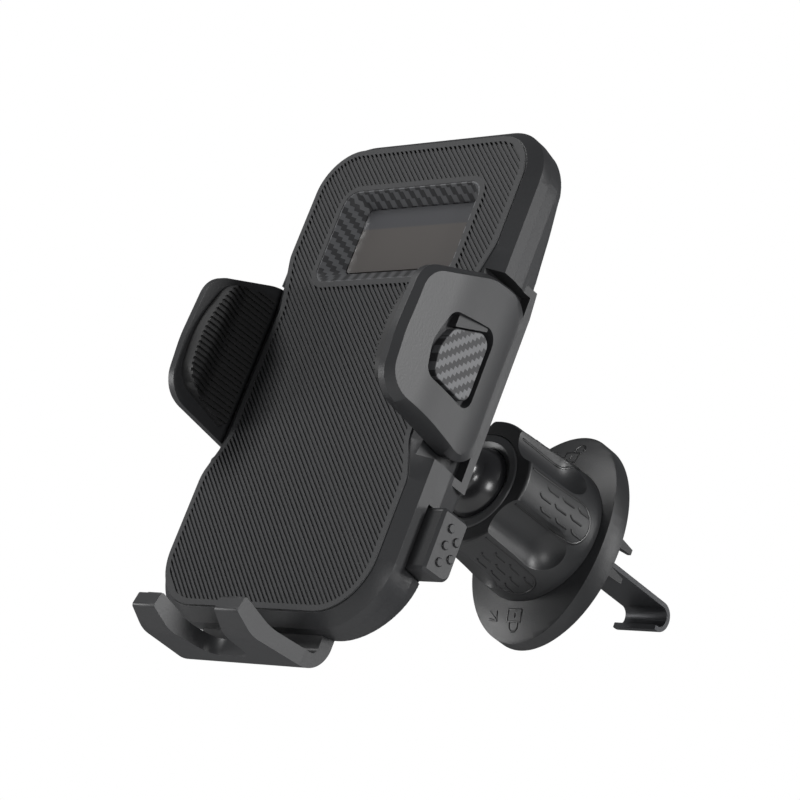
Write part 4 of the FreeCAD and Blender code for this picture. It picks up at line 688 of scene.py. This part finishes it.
def make_knob_marks():
    """Each grip patch: its outline and rows of hooked dashes."""
    surface = surface_of("twist_sleeve")
    beads = []
    for middle in PATCH_TURNS:
        beads.append(ribbon(sleeve_spots(surface, patch_path(middle)), OUTLINE_BEAD))
        for turn in DASH_ROWS:
            stagger = DASH_STAGGER if turn == 0 else 0
            for depth in DASH_COLUMNS:
                path = dash_path(depth + stagger, middle + turn)
                beads.append(ribbon(sleeve_spots(surface, path), DASH_BEAD))
    # The marks take the near-black finish that paints the grooves' shade.
    skin("knob_grip_marks", beads, groove_shade_finish, "knob", flip=True)


def disc_spots(surface, path):
    """Points on the base disc's front for a path of (x, z)."""
    spots = []
    for across, up in path:
        start = Vector((across * MM, -CAST_FROM, up * MM))
        place, normal, _, _ = surface.ray_cast(start, Vector((0, 1, 0)))
        spots.append((place / MM, normal if normal.y < 0 else -normal))
    return spots


def padlock_paths(height, turn, opened):
    """A padlock sign on the base's middle line: its body, its bow and a keyhole stroke."""
    body = [(-LOCK_HALF, LOCK_BOTTOM), (LOCK_HALF, LOCK_BOTTOM), (LOCK_HALF, LOCK_TOP), (-LOCK_HALF, LOCK_TOP),
            (-LOCK_HALF, LOCK_BOTTOM), (0, LOCK_BOTTOM)]
    shift = LOCK_OPEN_SHIFT if opened else 0
    bow = [(shift - LOCK_BOW, LOCK_TOP)]
    for angle in np.linspace(0, math.pi, LOCK_BOW_POINTS):
        bow.append((shift - LOCK_BOW * math.cos(angle), LOCK_BOW_HEIGHT + LOCK_BOW * math.sin(angle)))
    bow.append((shift + LOCK_BOW, LOCK_OPEN_END if opened else LOCK_TOP))
    cosine, sine = math.cos(turn), math.sin(turn)
    paths = []
    for path in (body, bow, KEYHOLE):
        paths.append([(u * cosine - v * sine, height + u * sine + v * cosine) for u, v in path])
    return paths


def make_base_signs():
    """Locked and unlocked padlock signs on the base, each with a small arrow."""
    surface = surface_of("base_disc")
    paths = padlock_paths(-SIGN_HEIGHT, math.pi, False) + padlock_paths(SIGN_HEIGHT, 0, True)
    for side in (1, -1):
        for stroke in (ARROW_SHAFT, ARROW_HEAD):
            paths.append([(across, side * up) for across, up in stroke])
    beads = [ribbon(disc_spots(surface, path), SIGN_BEAD) for path in paths]
    # The signs take the same near-black finish as the knob's marks, the painted shade of engraved grooves.
    skin("padlock_signs", beads, groove_shade_finish, "base", flip=True)


def stud_rings(depth, up, side):
    """One domed stud with a dimple, as rings about its own axis."""
    turns = np.linspace(0, math.tau, STUD_POINTS, endpoint=False)
    rings = []
    for radius, out in STUD_PROFILE:
        rings.append(np.column_stack([
            np.full(turns.shape, side * out),
            radius * np.cos(turns) - depth,
            radius * np.sin(turns) + up,
        ]))
    return rings


def make_studs(side):
    """Five glossy dimpled studs on a button."""
    body = "right_button" if side > 0 else "left_button"
    forms = [stud_rings(depth, up, side) for depth, up in STUD_SPOTS]
    skin(body + "_studs", forms, stud_finish, body, flip=side < 0)


def bowed_place(group):
    """Each point's place with its depth held in front of the bow, where a thin skin stays behind it."""
    split = group.nodes.new("ShaderNodeSeparateXYZ")
    group.links.new(group.nodes.new("GeometryNodeInputPosition").outputs[0], split.inputs[0])
    depth = maths(group, "MULTIPLY", split.outputs["Y"], -1 / MM)
    slope = maths(group, "DIVIDE", split.outputs["Z"], BOW_HALF * MM)
    rise = maths(group, "MULTIPLY", maths(group, "MULTIPLY", slope, slope), BOW_RISE)
    past = maths(group, "MULTIPLY", maths(group, "SUBTRACT", depth, BOW_BACK), BOW_SQUEEZE)
    inward = maths(group, "MINIMUM", past, BOW_SKIN)
    limit = maths(group, "ADD", maths(group, "ADD", rise, BOW_BACK), inward)
    kept = maths(group, "MULTIPLY", maths(group, "MAXIMUM", depth, limit), -MM)
    join = group.nodes.new("ShaderNodeCombineXYZ")
    group.links.new(split.outputs["X"], join.inputs["X"])
    group.links.new(kept, join.inputs["Y"])
    group.links.new(split.outputs["Z"], join.inputs["Z"])
    return join.outputs[0]


def make_bow_nodes():
    """Bends a head part's back: no point lies behind a bow that runs from the head's top to its bottom."""
    group = bpy.data.node_groups.new("bowed back", "GeometryNodeTree")
    for way in ("INPUT", "OUTPUT"):
        group.interface.new_socket("Geometry", in_out=way, socket_type="NodeSocketGeometry")
    given = group.nodes.new("NodeGroupInput")
    made = group.nodes.new("NodeGroupOutput")
    triangles = group.nodes.new("GeometryNodeTriangulate")
    finer = node_of(group, "GeometryNodeSubdivideMesh", Level=BOW_LEVELS)
    moved = group.nodes.new("GeometryNodeSetPosition")
    faces = group.nodes.new("GeometryNodeSetShadeSmooth")
    smooth = group.nodes.new("GeometryNodeSetShadeSmooth")
    smooth.domain = "EDGE"
    chain = (given, triangles, finer, moved, faces, smooth, made)
    for before, after in zip(chain, chain[1:]):
        group.links.new(before.outputs[0], after.inputs[0])
    group.links.new(bowed_place(group), moved.inputs["Position"])
    angle = group.nodes.new("GeometryNodeInputMeshEdgeAngle").outputs["Unsigned Angle"]
    group.links.new(maths(group, "LESS_THAN", angle, BOW_SMOOTH_ANGLE), smooth.inputs["Shade Smooth"])
    return group


def bow_backs():
    """The back shell and its screws take the bowed back."""
    nodes = make_bow_nodes()
    for name in BOWED_NODES:
        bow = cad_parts[name].modifiers.new("bowed back", "NODES")
        bow.node_group = nodes


def set_camera():
    """The photograph's view."""
    data = bpy.data.cameras.new("camera")
    data.lens = CAMERA_LENS
    data.sensor_width = CAMERA_SENSOR
    data.clip_start = CAMERA_NEAR
    camera = bpy.data.objects.new("camera", data)
    camera.location = CAMERA_PLACE
    camera.rotation_euler = [math.radians(angle) for angle in CAMERA_ANGLES]
    bpy.context.collection.objects.link(camera)
    bpy.context.scene.camera = camera


def add_lamp(name, place, size, power):
    """A soft rectangular lamp that faces the holder."""
    data = bpy.data.lights.new(name, "AREA")
    data.shape = "RECTANGLE"
    data.size, data.size_y = size
    data.energy = power
    lamp = bpy.data.objects.new(name, data)
    lamp.location = place
    lamp.rotation_euler = (Vector(LAMP_AIM) - Vector(place)).to_track_quat("-Z", "Y").to_euler()
    bpy.context.collection.objects.link(lamp)


def set_world():
    """White to the camera, and a soft grey room to everything else."""
    world = bpy.data.worlds.new("studio")
    bpy.context.scene.world = world
    world.use_nodes = True
    tree = world.node_tree
    light = tree.nodes.new("ShaderNodeLightPath")
    room = tree.nodes["Background"]
    room.inputs["Color"].default_value = ROOM_GREY
    white = tree.nodes.new("ShaderNodeBackground")
    white.inputs["Color"].default_value = WHITE
    mix = tree.nodes.new("ShaderNodeMixShader")
    tree.links.new(light.outputs["Is Camera Ray"], mix.inputs[0])
    tree.links.new(room.outputs[0], mix.inputs[1])
    tree.links.new(white.outputs[0], mix.inputs[2])
    tree.links.new(mix.outputs[0], tree.nodes["World Output"].inputs["Surface"])


def add_floor():
    """Pale floor well below the holder, which is held up by its hook."""
    level = cad_box[0].z - FLOOR_DROP
    corners = [(x * FLOOR_HALF, y * FLOOR_HALF, level) for x, y in ((-1, -1), (1, -1), (1, 1), (-1, 1))]
    mesh = bpy.data.meshes.new("floor")
    mesh.from_pydata(corners, [], [(0, 1, 2, 3)])
    floor = bpy.data.objects.new("floor", mesh)
    bpy.context.collection.objects.link(floor)
    material, _, shader = new_material("pale floor")
    shader.inputs["Base Color"].default_value = FLOOR_PALE
    shader.inputs["Roughness"].default_value = FLOOR_ROUGHNESS
    mesh.materials.append(material)


for name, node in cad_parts.items():
    finish_node(name, node)
for side in (1, -1):
    make_jaw(side)
    make_studs(side)
make_knob_marks()
make_base_signs()
bow_backs()
set_camera()
for lamp in LAMPS:
    add_lamp(*lamp)
set_world()
add_floor()
bpy.context.scene.view_settings.view_transform = "Standard"
